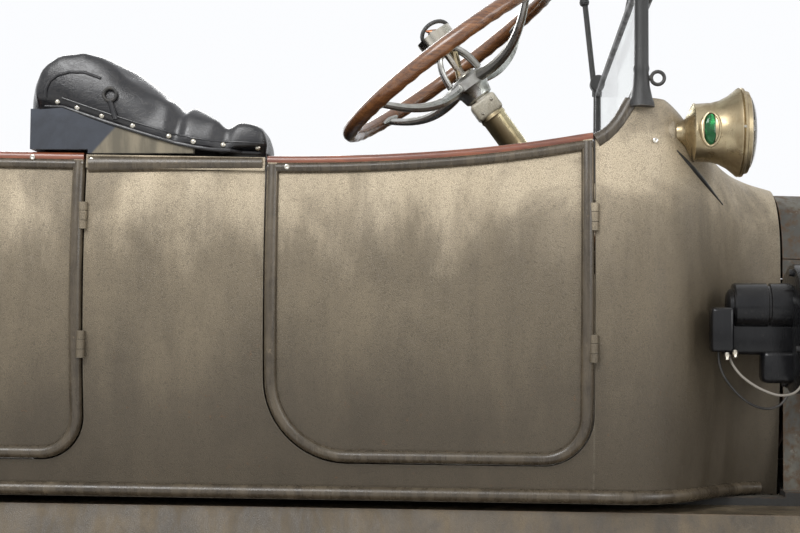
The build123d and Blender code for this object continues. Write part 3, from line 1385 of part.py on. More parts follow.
# Cowl lamps on stubs from the ears
LAMP_Y = 540.0
LAMP_Z = 1230.0
with BuildPart() as cowl_lamp:
    with BuildSketch(Plane.XZ.offset(LAMP_Y)):
        with BuildLine():
            Polyline(
                (404.0, LAMP_Z),
                (404.0, LAMP_Z + 22),
                (446.0, LAMP_Z + 14),
                (466.0, LAMP_Z + 30),
                (482.0, LAMP_Z + 50),
                (536.0, LAMP_Z + 52),
                (548.0, LAMP_Z + 70),
                (586.0, LAMP_Z + 72),
                (590.0, LAMP_Z + 60),
                (590.0, LAMP_Z),
                close=True,
            )
        make_face()
    revolve(axis=Axis((0, -LAMP_Y, LAMP_Z), (1, 0, 0)))
cowl_lamps = both_sides(without(cowl_lamp.part, cowl_solid(-CLEAR, RAIL_TOP)))
save(cowl_lamps, "cowl_lamps")

# Headlamps on posts from the frame
HEADLAMP_X, HEADLAMP_Y, HEADLAMP_Z = 1760.0, 378.0, 905.0
with BuildPart() as headlamp:
    with BuildSketch(Plane.XZ.offset(HEADLAMP_Y)):
        with BuildLine():
            Polyline(
                (HEADLAMP_X - 110, HEADLAMP_Z),
                (HEADLAMP_X - 104, HEADLAMP_Z + 50),
                (HEADLAMP_X - 60, HEADLAMP_Z + 104),
                (HEADLAMP_X + 60, HEADLAMP_Z + 118),
                (HEADLAMP_X + 66, HEADLAMP_Z + 135),
                (HEADLAMP_X + 96, HEADLAMP_Z + 135),
                (HEADLAMP_X + 104, HEADLAMP_Z + 110),
                (HEADLAMP_X + 112, HEADLAMP_Z),
                close=True,
            )
        make_face()
    revolve(axis=Axis((0, -HEADLAMP_Y, HEADLAMP_Z), (1, 0, 0)))
lamp_post = joined(
    rod((HEADLAMP_X - 40, -rail_mid, RAIL_TOP), (HEADLAMP_X - 40, -rail_mid, HEADLAMP_Z - 90), 12),
    rod((HEADLAMP_X - 40, -rail_mid, RAIL_TOP), (HEADLAMP_X - 40, -rail_mid, RAIL_TOP + 10), 22),
)
headlamps = both_sides(joined(headlamp.part, lamp_post))
save(headlamps, "headlamps")

# Horn on the right side of the cowl
HORN_Y = 505.0
HORN_Z = 925.0
MOTOR_Z = 960.0
horn = joined(
    rod((640, -HORN_Y, HORN_Z), (668, -HORN_Y, HORN_Z), 100),
    rod((524, -HORN_Y, MOTOR_Z), (640, -HORN_Y, MOTOR_Z), 38),
    rod((668, -HORN_Y, HORN_Z), (700, -HORN_Y, HORN_Z), 40),
)
with BuildPart() as horn_bell:
    with BuildSketch(Plane.XZ.offset(HORN_Y)):
        with BuildLine():
            Polyline(
                (699, HORN_Z), (699, HORN_Z + 30), (860, HORN_Z + 42), (930, HORN_Z + 78), (930, HORN_Z + 72),
                (862, HORN_Z + 36), (720, HORN_Z + 24), (720, HORN_Z), close=True,
            )
        make_face()
    revolve(axis=Axis((0, -HORN_Y, HORN_Z), (1, 0, 0)))
horn_bracket = joined(
    block((600, 616), (-HORN_Y, -395), (MOTOR_Z - 12, MOTOR_Z + 12)),
)
horn = without(joined(horn, horn_bell.part, horn_bracket), cowl_solid(-CLEAR, RAIL_TOP))
save(horn, "horn")


def inside(x_span, z_span, gap=CLEAR):
    """The room between the body's straight walls."""
    return both_sides(side_band(x_span[1], x_span[0], z_span[0], z_span[1], -WALL_THICK - gap, -BULGE_Y - 5))


# Seats: box bases, cushions, and backs that roll over the body's top
FLOOR_TOP = RAIL_TOP + FLOOR_THICK
SEAT_BASE_TOP = 820.0
CUSHION_TOP = 960.0
FRONT_SEAT_REAR_X = -598.0
FRONT_SEAT_FRONT_X = -20.0
SEAT_BACK_DEEP = 140.0
WING_THICK = 100.0
SHELL_THICK = 14.0
SHELL_OUTER_Y = 597.0
WING_END_X = -212.0
WELT = (
    # X, Z
    (-560.0, 1268.0),
    (-480.0, 1240.0),
    (-432.0, 1225.0),
    (-368.0, 1206.0),
    (-312.0, 1196.0),
    (-222.0, 1193.0),
)
ROLL_TOP = (
    (-221.0, 1228.0),
    (-248.0, 1237.0),
    (-296.0, 1240.0),
    (-336.0, 1252.0),
    (-384.0, 1270.0),
    (-448.0, 1302.0),
    (-480.0, 1322.0),
    (-520.0, 1337.0),
    (-560.0, 1334.0),
    (-586.0, 1313.0),
)
REAR_BASE_X = (-1600.0, -1200.0)
seat_bases = joined(
    block((FRONT_SEAT_REAR_X + 40, FRONT_SEAT_FRONT_X - 30), (-500, 500), (FLOOR_TOP, SEAT_BASE_TOP)),
    block(REAR_BASE_X, (-500, 500), (FLOOR_TOP, SEAT_BASE_TOP)),
)
save(seat_bases, "seat_bases")
front_cushion = within(
    block((FRONT_SEAT_REAR_X + CLEAR, FRONT_SEAT_FRONT_X), (-545, 545), (SEAT_BASE_TOP, CUSHION_TOP)),
    inside((FRONT_SEAT_REAR_X - 10, FRONT_SEAT_FRONT_X + 10), (SEAT_BASE_TOP - 5, CUSHION_TOP + 5), 8),
)
save(front_cushion, "front_cushion")
rear_cushion = block((-1735, REAR_BASE_X[1] + 30), (-545, 545), (SEAT_BASE_TOP, CUSHION_TOP))
tub_corner_room = tub_band(SEAT_BASE_TOP - 5, CUSHION_TOP + 5, 400, -WALL_THICK - 8, REAR_BASE_X[1] + 60)
rear_cushion = without(rear_cushion, tub_corner_room)
save(rear_cushion, "rear_cushion")

seat_u = without(
    block((FRONT_SEAT_REAR_X + CLEAR, WING_END_X), (-SHELL_OUTER_Y, SHELL_OUTER_Y), (CUSHION_TOP + CLEAR, 1340)),
    block(
        (FRONT_SEAT_REAR_X + SEAT_BACK_DEEP, WING_END_X + 10),
        (-SHELL_OUTER_Y + WING_THICK + SHELL_THICK, SHELL_OUTER_Y - WING_THICK - SHELL_THICK),
        (CUSHION_TOP - 5, 1350),
    ),
)
BODY_TOP_ROOM = 1193.0
DOOR_TOP_ROOM = 1199.5
roll_side = side_prism(
    (*WELT, *ROLL_TOP, (-597.7, 1275.0), (-597.7, 1266.0)), (-SHELL_OUTER_Y, SHELL_OUTER_Y)
)
back_side = side_prism(
    ((WING_END_X, CUSHION_TOP), (WING_END_X, 1205.0), *ROLL_TOP, (-597.7, 1275.0), (-597.7, CUSHION_TOP)),
    (-SHELL_OUTER_Y + SHELL_THICK + CLEAR, SHELL_OUTER_Y - SHELL_THICK - CLEAR),
)
low_room = inside((FRONT_SEAT_REAR_X - 10, WING_END_X + 10), (CUSHION_TOP - 5, DOOR_TOP_ROOM), 1.0)
high_room = block((FRONT_SEAT_REAR_X - 10, WING_END_X + 10), (-700, 700), (DOOR_TOP_ROOM, 1400))
front_seat_back = within(within(seat_u, joined(roll_side, back_side)), joined(low_room, high_room))
save(front_seat_back, "front_seat_back")
shell_wing = side_prism(
    (
        (-612.0, DOOR_TOP_ROOM),
        (-612.0, 1264.0),
        (-560.0, 1268.0 - CLEAR),
        (-480.0, 1240.0 - CLEAR),
        (-432.0, 1225.0 - CLEAR),
        (-368.0, 1206.0 - CLEAR),
        (-340.0, 1201.0 - CLEAR),
        (-340.0, BODY_TOP_ROOM),
        (-515.0, BODY_TOP_ROOM),
        (-515.0, DOOR_TOP_ROOM),
    ),
    (-SHELL_OUTER_Y, -SHELL_OUTER_Y + SHELL_THICK),
)
shell_panel = joined(
    within(
        block((FRONT_SEAT_REAR_X - SHELL_THICK, FRONT_SEAT_REAR_X), (-560, 560), (FLOOR_TOP, DOOR_TOP_ROOM)),
        inside((-700, -500), (FLOOR_TOP - 5, DOOR_TOP_ROOM), 1.0),
    ),
    block(
        (FRONT_SEAT_REAR_X - SHELL_THICK, FRONT_SEAT_REAR_X),
        (-SHELL_OUTER_Y, SHELL_OUTER_Y),
        (DOOR_TOP_ROOM, 1266.0),
    ),
)
front_seat_shell = joined(both_sides(shell_wing), shell_panel)
save(front_seat_shell, "front_seat_shell")

REAR_WING_X = -1150.0
REAR_ROLL_TOP = 1332.0
rear_low = tub_band(CUSHION_TOP + CLEAR, BELT_REAR_Z - 8, -WALL_THICK - 1.0, -WALL_THICK - SEAT_BACK_DEEP, REAR_WING_X)
rear_high = within(
    tub_band(BELT_REAR_Z - 8, REAR_ROLL_TOP, -WALL_THICK - 1.0, -WALL_THICK - SEAT_BACK_DEEP, REAR_WING_X),
    side_prism(
        (
            (REAR_WING_X + 5, 1180.0), (REAR_WING_X + 5, 1222.0), (-1300.0, 1252.0), (-1450.0, 1300.0),
            (-1560.0, REAR_ROLL_TOP), (BACK_X, REAR_ROLL_TOP), (BACK_X, 1180.0),
        ),
        (-700, 700),
    ),
)
rear_seat_back = joined(rear_low, rear_high)
save(rear_seat_back, "rear_seat_back")

# Instrument board under the deck's rear edge
dash_panel = within(
    block((DECK_REAR_X - 16, DECK_REAR_X - CLEAR), (-BULGE_Y, BULGE_Y), (1090, 1240)),
    firewall_room,
)
save(dash_panel, "dash_panel")

# Gear and brake levers in their gate, and three pedals
toe_normal = Vector(-0.757, 0, 0.653)
controls = joined(
    block((60, 240), (-70, 30), (FLOOR_TOP, FLOOR_TOP + 40)),
    rod((150, 0, FLOOR_TOP + 30), (110, 0, 930), 9),
    rod((200, -40, FLOOR_TOP + 30), (110, -40, 1010), 8),
)
pedals = []
for y in (-360.0, -205.0, -130.0):
    root = Vector(500, y, 711.2) + toe_normal * 0.4
    pad = Vector(500, y, 711.2) + toe_normal * 70
    pedals.append(rod(tuple(root), tuple(pad), 7))
    with BuildPart() as pedal_pad:
        with BuildSketch(Plane(origin=pad, x_dir=(0, 1, 0), z_dir=toe_normal)):
            RectangleRounded(64, 84, 12)
        extrude(amount=10)
    pedals.append(pedal_pad.part)
controls = joined(controls, *pedals)
save(controls, "controls")

# Spare tyre on its rim, carried by a bar behind the body
SPARE_X = -HALF_LENGTH + TYRE_SECTION
SPARE_Z = 905.0
with BuildPart() as spare_tyre:
    with BuildSketch(Plane.XZ):
        with Locations((SPARE_X, SPARE_Z + TYRE_RADIUS - TYRE_SECTION)):
            Circle(TYRE_SECTION)
        with Locations((SPARE_X, SPARE_Z + RIM_RADIUS - 100)):
            Rectangle(300, 200, mode=Mode.SUBTRACT)
    revolve(axis=Axis((0, 0, SPARE_Z), (1, 0, 0)))
save(spare_tyre.part, "spare_tyre")
with BuildPart() as spare_rim:
    with BuildSketch(Plane.XZ):
        with BuildLine():
            rim_top = SPARE_Z + RIM_RADIUS
            Polyline(
                (SPARE_X - RIM_HALF_WIDTH, rim_top + RIM_LIP),
                (SPARE_X - RIM_HALF_WIDTH + RIM_LIP_THICK, rim_top + RIM_LIP),
                (SPARE_X - RIM_HALF_WIDTH + RIM_LIP_THICK, rim_top - CLEAR),
                (SPARE_X + RIM_HALF_WIDTH - RIM_LIP_THICK, rim_top - CLEAR),
                (SPARE_X + RIM_HALF_WIDTH - RIM_LIP_THICK, rim_top + RIM_LIP),
                (SPARE_X + RIM_HALF_WIDTH, rim_top + RIM_LIP),
                (SPARE_X + RIM_HALF_WIDTH, rim_top - RIM_THICK - CLEAR),
                (SPARE_X - RIM_HALF_WIDTH, rim_top - RIM_THICK - CLEAR),
                close=True,
            )
        make_face()
    revolve(axis=Axis((0, 0, SPARE_Z), (1, 0, 0)))
save(spare_rim.part, "spare_rim")
hold_r = RIM_RADIUS - RIM_THICK - 2 * CLEAR - 1.0
bar_front_x = CROSS_XS[0] - CROSS_WIDE / 2 - CLEAR
spare_carrier = joined(
    block((bar_front_x - 12, bar_front_x), (-24, 24), (RAIL_TOP - 60, SPARE_Z + hold_r)),
    block((SPARE_X - RIM_HALF_WIDTH, bar_front_x), (-24, 24), (SPARE_Z + hold_r - 12, SPARE_Z + hold_r)),
    block((SPARE_X - RIM_HALF_WIDTH, bar_front_x), (-24, 24), (SPARE_Z - hold_r, SPARE_Z - hold_r + 12)),
)
save(spare_carrier, "spare_carrier")

# Tail lamp on a bracket from the left rail
with BuildPart() as tail_lamp:
    with BuildSketch(Plane.XZ.offset(-460)):
        with BuildLine():
            Polyline(
                (-1860, 745), (-1860, 778), (-1905, 790), (-1912, 800), (-1926, 800), (-1930, 745), close=True
            )
        make_face()
    revolve(axis=Axis((0, 460, 745), (1, 0, 0)))
tail_lamp = joined(
    tail_lamp.part,
    block((-1900, -1870), (RAIL_OUTER_Y + CLEAR, RAIL_OUTER_Y + 8), (560, 700)),
    block((-1900, -1870), (RAIL_OUTER_Y + CLEAR, 464), (692, 712)),
)
save(tail_lamp, "tail_lamp")
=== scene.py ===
from math import acos, asin, atan2, cos, pi, radians, sin, sqrt

import bmesh
import bpy
from mathutils import Matrix, Vector
from mathutils.bvhtree import BVHTree


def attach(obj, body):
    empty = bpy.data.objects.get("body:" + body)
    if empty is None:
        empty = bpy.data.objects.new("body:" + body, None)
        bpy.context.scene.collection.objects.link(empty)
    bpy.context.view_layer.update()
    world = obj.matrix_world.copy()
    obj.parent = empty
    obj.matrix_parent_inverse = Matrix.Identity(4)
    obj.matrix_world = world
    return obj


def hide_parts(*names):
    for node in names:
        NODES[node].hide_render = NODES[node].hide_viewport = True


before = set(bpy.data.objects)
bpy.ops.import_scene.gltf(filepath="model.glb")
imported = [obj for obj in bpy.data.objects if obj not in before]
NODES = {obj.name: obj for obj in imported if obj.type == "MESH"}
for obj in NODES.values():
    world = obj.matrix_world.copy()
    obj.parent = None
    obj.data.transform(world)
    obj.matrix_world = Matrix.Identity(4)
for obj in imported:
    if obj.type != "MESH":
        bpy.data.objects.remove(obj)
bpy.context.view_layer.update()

# Wheel places, in metres
FRONT_AXLE_X, REAR_AXLE_X = 1.600, -1.450
AXLE_Z, WHEEL_Y = 0.432, 0.711


# Shader helpers

def feed(target, value):
    """Gives an input a value of the tree, a number or a colour."""
    if isinstance(value, Value):
        value.tree.links.new(value.socket, target)
    elif target.type == "RGBA":
        target.default_value = (*value, 1.0)
    else:
        target.default_value = value


def give(inputs, **values):
    """Feeds inputs by name; an underscore stands for a space."""
    for key, value in values.items():
        feed(inputs[key.replace("_", " ")], value)


class Value:
    """An output in a node tree, and what can be made of it."""

    def __init__(self, tree, socket):
        self.tree, self.socket = tree, socket

    def wire(self, kind, inputs, output=0, **settings):
        """An output of a new node with these settings and inputs."""
        made = self.tree.nodes.new(kind)
        for key, value in settings.items():
            setattr(made, key, value)
        for key, value in inputs.items():
            feed(made.inputs[key], value)
        return Value(self.tree, made.outputs[output])

    def math(self, kind, other=None):
        """This value in a sum, with another where the sum takes two."""
        terms = {0: self} if other is None else {0: self, 1: other}
        return self.wire("ShaderNodeMath", terms, operation=kind)

    def __add__(self, other):
        return self.math("ADD", other)

    def __sub__(self, other):
        return self.math("SUBTRACT", other)

    def __rsub__(self, other):
        return self.wire("ShaderNodeMath", {0: other, 1: self}, operation="SUBTRACT")

    def __mul__(self, other):
        return self.math("MULTIPLY", other)

    def ramp(self, low, high, start=0.0, end=1.0):
        """This value spread smoothly between two limits."""
        limits = {0: self, 1: low, 2: high, 3: start, 4: end}
        return self.wire("ShaderNodeMapRange", limits, interpolation_type="SMOOTHSTEP")

    def blend(self, first, second):
        """First colour where this mask is 0, second where it is 1."""
        return self.wire("ShaderNodeMix", {0: self, 6: first, 7: second}, 2, data_type="RGBA")

    def axis(self, label):
        """This vector's X, Y or Z."""
        return self.wire("ShaderNodeSeparateXYZ", {0: self}, label)

    def stretched(self, scale):
        """This vector scaled unevenly, so that a pattern runs along one axis."""
        return self.wire("ShaderNodeMapping", {"Vector": self, "Scale": scale})

    def noise(self, scale, detail=4.0, rough=0.55, twist=0.0):
        """Noise texture on this vector."""
        inputs = {"Vector": self, "Scale": scale, "Detail": detail, "Roughness": rough, "Distortion": twist}
        return self.wire("ShaderNodeTexNoise", inputs, "Fac")

    def cells(self, feature, **inputs):
        """Distances in a Voronoi texture on this vector."""
        return self.wire("ShaderNodeTexVoronoi", {"Vector": self, **inputs}, "Distance", feature=feature)

    def use(self, shared, **values):
        """The results of a shared node group on this vector, by name."""
        made = self.tree.nodes.new("ShaderNodeGroup")
        made.node_tree = shared
        give(made.inputs, Vector=self, **values)
        return {socket.name: Value(self.tree, socket) for socket in made.outputs}


def group(name, settings, results):
    """A new node group on a vector: its tree, its inputs as values, and where its results go."""
    tree = bpy.data.node_groups.new(name, "ShaderNodeTree")
    tree.interface.new_socket(name="Vector", in_out="INPUT", socket_type="NodeSocketVector")
    for label, value in settings.items():
        made = tree.interface.new_socket(name=label, in_out="INPUT", socket_type="NodeSocketFloat")
        made.default_value = value
    for label in results:
        tree.interface.new_socket(name=label, in_out="OUTPUT", socket_type="NodeSocketFloat")
    start, end = tree.nodes.new("NodeGroupInput"), tree.nodes.new("NodeGroupOutput")
    return tree, [Value(tree, start.outputs[label]) for label in ("Vector", *settings)], end.inputs


def mottle_group():
    """Large and small patches: how much weather has changed a surface."""
    tree, (vector, size, fine), end = group(
        "weather mottle", {"Size": 6.0, "Fine Size": 90.0}, ("Patches", "Specks", "Streaks")
    )
    down = vector.stretched((1.0, 1.0, 0.16))
    give(
        end,
        Patches=vector.noise(size, 6.0, 0.62, 0.6).ramp(0.36, 0.68),
        Specks=vector.noise(fine, 5.0, 0.7).ramp(0.60, 0.74),
        Streaks=down.noise(size * 5.0, 5.0, 0.6, 0.2).ramp(0.35, 0.7),
    )
    return tree


def crack_group():
    """A net of fine cracks in old paint, as a height and a mask."""
    tree, (vector, size), end = group("paint craquelure", {"Size": 380.0}, ("Height", "Cracks"))
    drift = vector.wire("ShaderNodeTexNoise", {"Vector": vector, "Scale": 60.0}, "Color")
    wobble = drift.wire("ShaderNodeVectorMath", {0: drift, "Scale": 0.006}, operation="SCALE")
    moved = vector.wire("ShaderNodeVectorMath", {0: vector, 1: wobble}, operation="ADD")
    line = moved.cells("DISTANCE_TO_EDGE", Scale=size).ramp(0.02, 0.16)
    give(end, Height=line + vector.noise(900.0, 3.0, 0.6) * 0.7, Cracks=1.0 - line)
    return tree


def edge_group():
    """A mask along the piece's corners, where hands and weather rub the finish off."""
    tree, (vector, breakup), end = group("rubbed edges", {"Breakup": 60.0}, ("Edges",))
    soft = vector.wire("ShaderNodeBevel", {"Radius": 0.005}, samples=4)
    plain = vector.wire("ShaderNodeNewGeometry", {}, "Normal")
    bend = soft.wire("ShaderNodeVectorMath", {0: soft, 1: plain}, "Value", operation="DOT_PRODUCT")
    torn = vector.noise(breakup, 5.0, 0.7).ramp(0.35, 0.6)
    give(end, Edges=bend.ramp(0.80, 0.98, 1.0, 0.0) * torn)
    return tree


def dust_group():
    """Dust that settles where a surface faces up."""
    tree, (vector, amount), end = group("settled dust", {"Amount": 0.5}, ("Dust",))
    up = vector.wire("ShaderNodeNewGeometry", {}, "Normal").axis("Z").ramp(0.2, 0.95)
    give(end, Dust=up * vector.noise(9.0, 6.0, 0.65).ramp(0.3, 0.7) * amount)
    return tree


def grain_group():
    """Wood grain along X: growth lines, pores and slow changes of tone."""
    tree, (vector,), end = group("wood grain", {}, ("Grain", "Pores", "Tone"))
    give(
        end,
        Grain=vector.stretched((0.08, 1.0, 1.0)).noise(120.0, 4.0, 0.6, 1.2).ramp(0.3, 0.7),
        Pores=vector.stretched((0.03, 1.0, 1.0)).noise(700.0, 2.0, 0.5).ramp(0.5, 0.7),
        Tone=vector.noise(7.0, 3.0),
    )
    return tree


MOTTLE, CRACKS, EDGES = mottle_group(), crack_group(), edge_group()
DUST, GRAIN = dust_group(), grain_group()


def material(name, metallic=0.0, coat=0.0, coat_rough=0.2, rough=0.5, sheen=0.0):
    """A new material, its shader's inputs and its object coordinates."""
    made = bpy.data.materials.new(name)
    made.use_nodes = True
    tree = made.node_tree
    shader = tree.nodes["Principled BSDF"].inputs
    give(
        shader, Metallic=metallic, Roughness=rough, Coat_Weight=coat, Coat_Roughness=coat_rough,
        Sheen_Weight=sheen,
    )
    return made, shader, Value(tree, tree.nodes.new("ShaderNodeTexCoord").outputs["Object"])


def relief(shader, height, strength, distance):
    """Bump from a height."""
    inputs = {"Height": height, "Strength": strength, "Distance": distance}
    give(shader, Normal=height.wire("ShaderNodeBump", inputs))


def shade(colour, factor):
    """A colour made darker."""
    return tuple(part * factor for part in colour)


def rub(place, breakup, amount, colour, bare):
    """A colour worn through to another along the piece's corners."""
    return (place.use(EDGES, Breakup=breakup)["Edges"] * amount).blend(colour, bare)


def seat_shell():
    """The seat's shell: blue-black cloth behind, the body's paint on its side ahead."""
    made, shader, place = material("seat shell covering", sheen=0.15)
    wear = place.use(MOTTLE, Size=9.0, Fine_Size=150.0)
    cloth = wear["Patches"].blend((0.010, 0.013, 0.020), (0.030, 0.037, 0.052))
    paint = wear["Streaks"].blend((0.100, 0.085, 0.056), (0.220, 0.185, 0.125))
    lean = place.axis("X") + place.axis("Z") * -0.9
    give(shader, Base_Color=lean.ramp(-1.585, -1.578).blend(cloth, paint))
    relief(shader, place.noise(500.0, 4.0, 0.7), 0.25, 0.0006)
    return made


def painted(
    name, dark, light, bare, rough=(0.36, 0.6), crack=380.0, bump=0.25, size=5.0, dust=0.25, edge=0.8
):
    """Old paint over sheet metal: mottled, cracked, rubbed through at the edges, dusty on top."""
    made, shader, place = material(name)
    wear = place.use(MOTTLE, Size=size, Fine_Size=140.0)
    colour = (wear["Patches"] * 0.55 + wear["Streaks"] * 0.45).blend(dark, light)
    cracked = place.use(CRACKS, Size=crack)
    colour = (cracked["Cracks"] * 0.35).blend(colour, shade(dark, 0.45))
    spots = place.use(MOTTLE, Size=14.0, Fine_Size=75.0)
    colour = (spots["Specks"] * spots["Patches"] * 0.5).blend(colour, bare)
    colour = rub(place, 55.0, edge, colour, bare)
    settled = place.use(DUST, Amount=dust)["Dust"]
    gloss = wear["Streaks"].ramp(0.0, 1.0, *rough) + settled * 0.3
    give(shader, Base_Color=settled.blend(colour, (0.22, 0.19, 0.14)), Roughness=gloss)
    relief(shader, cracked["Height"], bump, 0.0006)
    return made


def body_paint():
    """The body's olive-brown paint: paler towards the top under the rail, darker towards the bottom, and
    rust-specked low down.
    """
    made, shader, place = material("worn body paint", metallic=0.25)
    wear = place.use(MOTTLE, Size=3.6, Fine_Size=160.0)
    tone = wear["Patches"] * 0.35 + wear["Streaks"] * 0.3 + place.noise(170.0, 6.0, 0.75) * 0.45
    colour = tone.blend((0.112, 0.088, 0.057), (0.240, 0.193, 0.128))
    ragged = place.stretched((1.0, 1.0, 0.3)).noise(11.0, 6.0, 0.7) * 0.30
    height = place.axis("Z") + (ragged - 0.15)
    # Paler and a little rougher towards the top, under the rail
    upper_pale_mask = height.ramp(1.0, 1.17) * wear["Patches"].ramp(0.1, 0.8, 0.35, 1.0)
    colour = (upper_pale_mask * 0.9).blend(colour, (0.60, 0.50, 0.355))
    # Darker towards the bottom
    colour = (height.ramp(0.98, 0.72) * 0.62).blend(colour, (0.046, 0.036, 0.026))
    cracked = place.use(CRACKS, Size=420.0)
    colour = (cracked["Cracks"] * 0.5).blend(colour, (0.050, 0.042, 0.029))
    spots = place.use(MOTTLE, Size=9.0, Fine_Size=95.0)
    rust = spots["Specks"] * spots["Patches"] * height.ramp(0.95, 0.72, 0.12, 0.75)
    colour = rub(place, 45.0, 0.55, rust.blend(colour, (0.155, 0.075, 0.032)), (0.20, 0.175, 0.13))
    gloss = wear["Streaks"].ramp(0.0, 1.0, 0.34, 0.52) + upper_pale_mask * 0.1
    give(shader, Base_Color=colour, Roughness=gloss)
    relief(shader, cracked["Height"], 0.35, 0.0007)
    return made


def hood_metal():
    """Hood sheet with its paint gone: grey iron mottled with rust."""
    made, shader, place = material("rusted hood sheet", metallic=0.35)
    wear = place.use(MOTTLE, Size=7.0, Fine_Size=70.0)
    fine = place.noise(45.0, 6.0, 0.7)
    colour = wear["Patches"].blend((0.075, 0.072, 0.062), (0.165, 0.155, 0.125))
    colour = fine.ramp(0.42, 0.66).blend(colour, (0.10, 0.062, 0.035))
    colour = (wear["Specks"] * 0.7).blend(colour, (0.22, 0.21, 0.18))
    colour = rub(place, 60.0, 0.7, colour, (0.17, 0.085, 0.035))
    give(shader, Base_Color=colour, Roughness=fine.ramp(0.3, 0.7, 0.42, 0.75))
    relief(shader, fine + wear["Specks"], 0.3, 0.0008)
    return made


def metal(name, clean, stained, rough=(0.25, 0.5), size=16.0, edge=None):
    """Bare metal with tarnish in patches."""
    made, shader, place = material(name, metallic=1.0)
    wear = place.use(MOTTLE, Size=size, Fine_Size=120.0)
    colour = (wear["Patches"] * 0.8).blend(clean, stained)
    colour = (wear["Specks"] * 0.6).blend(colour, shade(stained, 0.4))
    colour = rub(place, 80.0, 0.6, colour, edge or clean)
    give(shader, Base_Color=colour, Roughness=wear["Patches"].ramp(0.0, 1.0, *rough))
    relief(shader, place.noise(260.0, 4.0, 0.6), 0.12, 0.0004)
    return made


def wood(name, pale, dark, turn=(0.0, 0.0, 0.0), coat=0.5, rough=0.42, worn=None):
    """Varnished wood with its grain along X after the turn."""
    made, shader, place = material(name, coat=coat, coat_rough=0.18, rough=rough)
    lines = place.wire("ShaderNodeMapping", {"Vector": place, "Rotation": turn}).use(GRAIN)
    colour = lines["Grain"].blend(pale, dark)
    colour = (lines["Pores"] * 0.5).blend(colour, shade(dark, 0.35))
    colour = lines["Tone"].ramp(0.35, 0.7, 0.0, 0.5).blend(colour, dark)
    if worn:
        colour = rub(place, 40.0, 0.6, colour, worn)
    give(shader, Base_Color=colour)
    relief(shader, lines["Grain"], 0.15, 0.0005)
    return made


def leather(name="worn black leather", pebble=520.0):
    """Black upholstery leather: pebble grain, creases, and a soft worn shine."""
    made, shader, place = material(name, coat=0.25, coat_rough=0.3)
    grain = place.cells("SMOOTH_F1", Scale=pebble, Smoothness=0.4)
    crease = place.stretched((1.0, 1.0, 2.2)).noise(26.0, 6.0, 0.62, 2.2)
    folds = (crease - 0.5).math("ABSOLUTE").ramp(0.0, 0.05)
    patch = place.noise(8.0, 4.0)
    colour = patch.ramp(0.35, 0.7).blend((0.007, 0.007, 0.009), (0.018, 0.018, 0.020))
    colour = ((1.0 - folds) * 0.4).blend(colour, (0.034, 0.030, 0.027))
    give(shader, Base_Color=colour, Roughness=patch.ramp(0.3, 0.7, 0.24, 0.40))
    relief(shader, grain * 0.5 + folds * 0.6, 0.22, 0.0009)
    return made


def about_axle(place, x):
    """Distance from an axle line, turn about it, and distance from the car's middle."""
    moved = place.wire("ShaderNodeMapping", {"Vector": place, "Location": (-x, 0, -AXLE_Z)})
    across, up = moved.axis("X"), moved.axis("Z")
    radius = (across * across + up * up).math("SQRT")
    return radius, up.math("ARCTAN2", across), moved.axis("Y").math("ABSOLUTE")


def wheel_finish(name, x):
    """Varnished spokes and felloe between a dark metal rim, hub and drum."""
    made, shader, place = material(name, coat=0.25, coat_rough=0.25, rough=0.45)
    radius, _, out = about_axle(place, x)
    lines = place.use(GRAIN)
    timber = lines["Grain"].blend((0.30, 0.175, 0.080), (0.155, 0.080, 0.034))
    timber = (lines["Pores"] * 0.5).blend(timber, (0.05, 0.028, 0.012))
    wear = place.use(MOTTLE, Size=14.0, Fine_Size=120.0)
    iron = wear["Patches"].blend((0.022, 0.021, 0.020), (0.085, 0.066, 0.048))
    outer, inner = radius.ramp(0.3320, 0.3335), radius.ramp(0.0815, 0.0800)
    drum = radius.ramp(0.1680, 0.1665) * out.ramp(0.690, 0.688)
    iron_part = outer.math("MAXIMUM", inner).math("MAXIMUM", drum)
    dirt = place.use(DUST, Amount=0.4)["Dust"]
    colour = dirt.blend(iron_part.blend(timber, iron), (0.16, 0.13, 0.09))
    give(shader, Base_Color=colour, Metallic=iron_part * 0.6)
    relief(shader, lines["Grain"] + wear["Specks"], 0.2, 0.0006)
    return made


def rubber(name, x=None):
    """Old tyre rubber, greyed and dusty; round an axle it has ribs and cross cuts on its crown, with painted
    shade in the cuts.
    """
    made, shader, place = material(name, rough=0.8, sheen=0.1)
    wear = place.use(MOTTLE, Size=9.0, Fine_Size=150.0)
    colour = wear["Patches"].blend((0.022, 0.022, 0.021), (0.050, 0.048, 0.044))
    if x is None:
        relief(shader, place.noise(300.0, 5.0, 0.7), 0.3, 0.0006)
    else:
        rib_pitch, cuts_in_a_radian = 0.014, 96.0
        radius, turn, out = about_axle(place, x)
        rib = ((out - WHEEL_Y) * (2 * pi / rib_pitch)).math("SINE")
        cut = (turn * cuts_in_a_radian + rib * 1.2).math("SINE")
        block = rib.ramp(-0.7, -0.3) * cut.ramp(-0.8, -0.4)
        crown = radius.ramp(0.412, 0.416)
        # Painted shade: the cuts between the tread's blocks on the crown are darkened
        colour = (crown * (1.0 - block) * 0.6).blend(colour, (0.010, 0.010, 0.010))
        relief(shader, block * crown, 0.9, 0.005)
    settled = place.use(DUST, Amount=0.35)["Dust"]
    give(shader, Base_Color=settled.blend(colour, (0.15, 0.13, 0.10)))
    return made


def glass(name, tint):
    """Clear glass with a little tint and faint smears."""
    made, shader, place = material(name)
    smear = place.stretched((1.0, 1.0, 0.3)).noise(6.0, 4.0)
    gloss = smear.ramp(0.4, 0.9, 0.01, 0.08)
    colour = smear.blend(tint, shade(tint, 0.96))
    give(shader, Base_Color=colour, Roughness=gloss, Transmission_Weight=1.0, IOR=1.45)
    return made


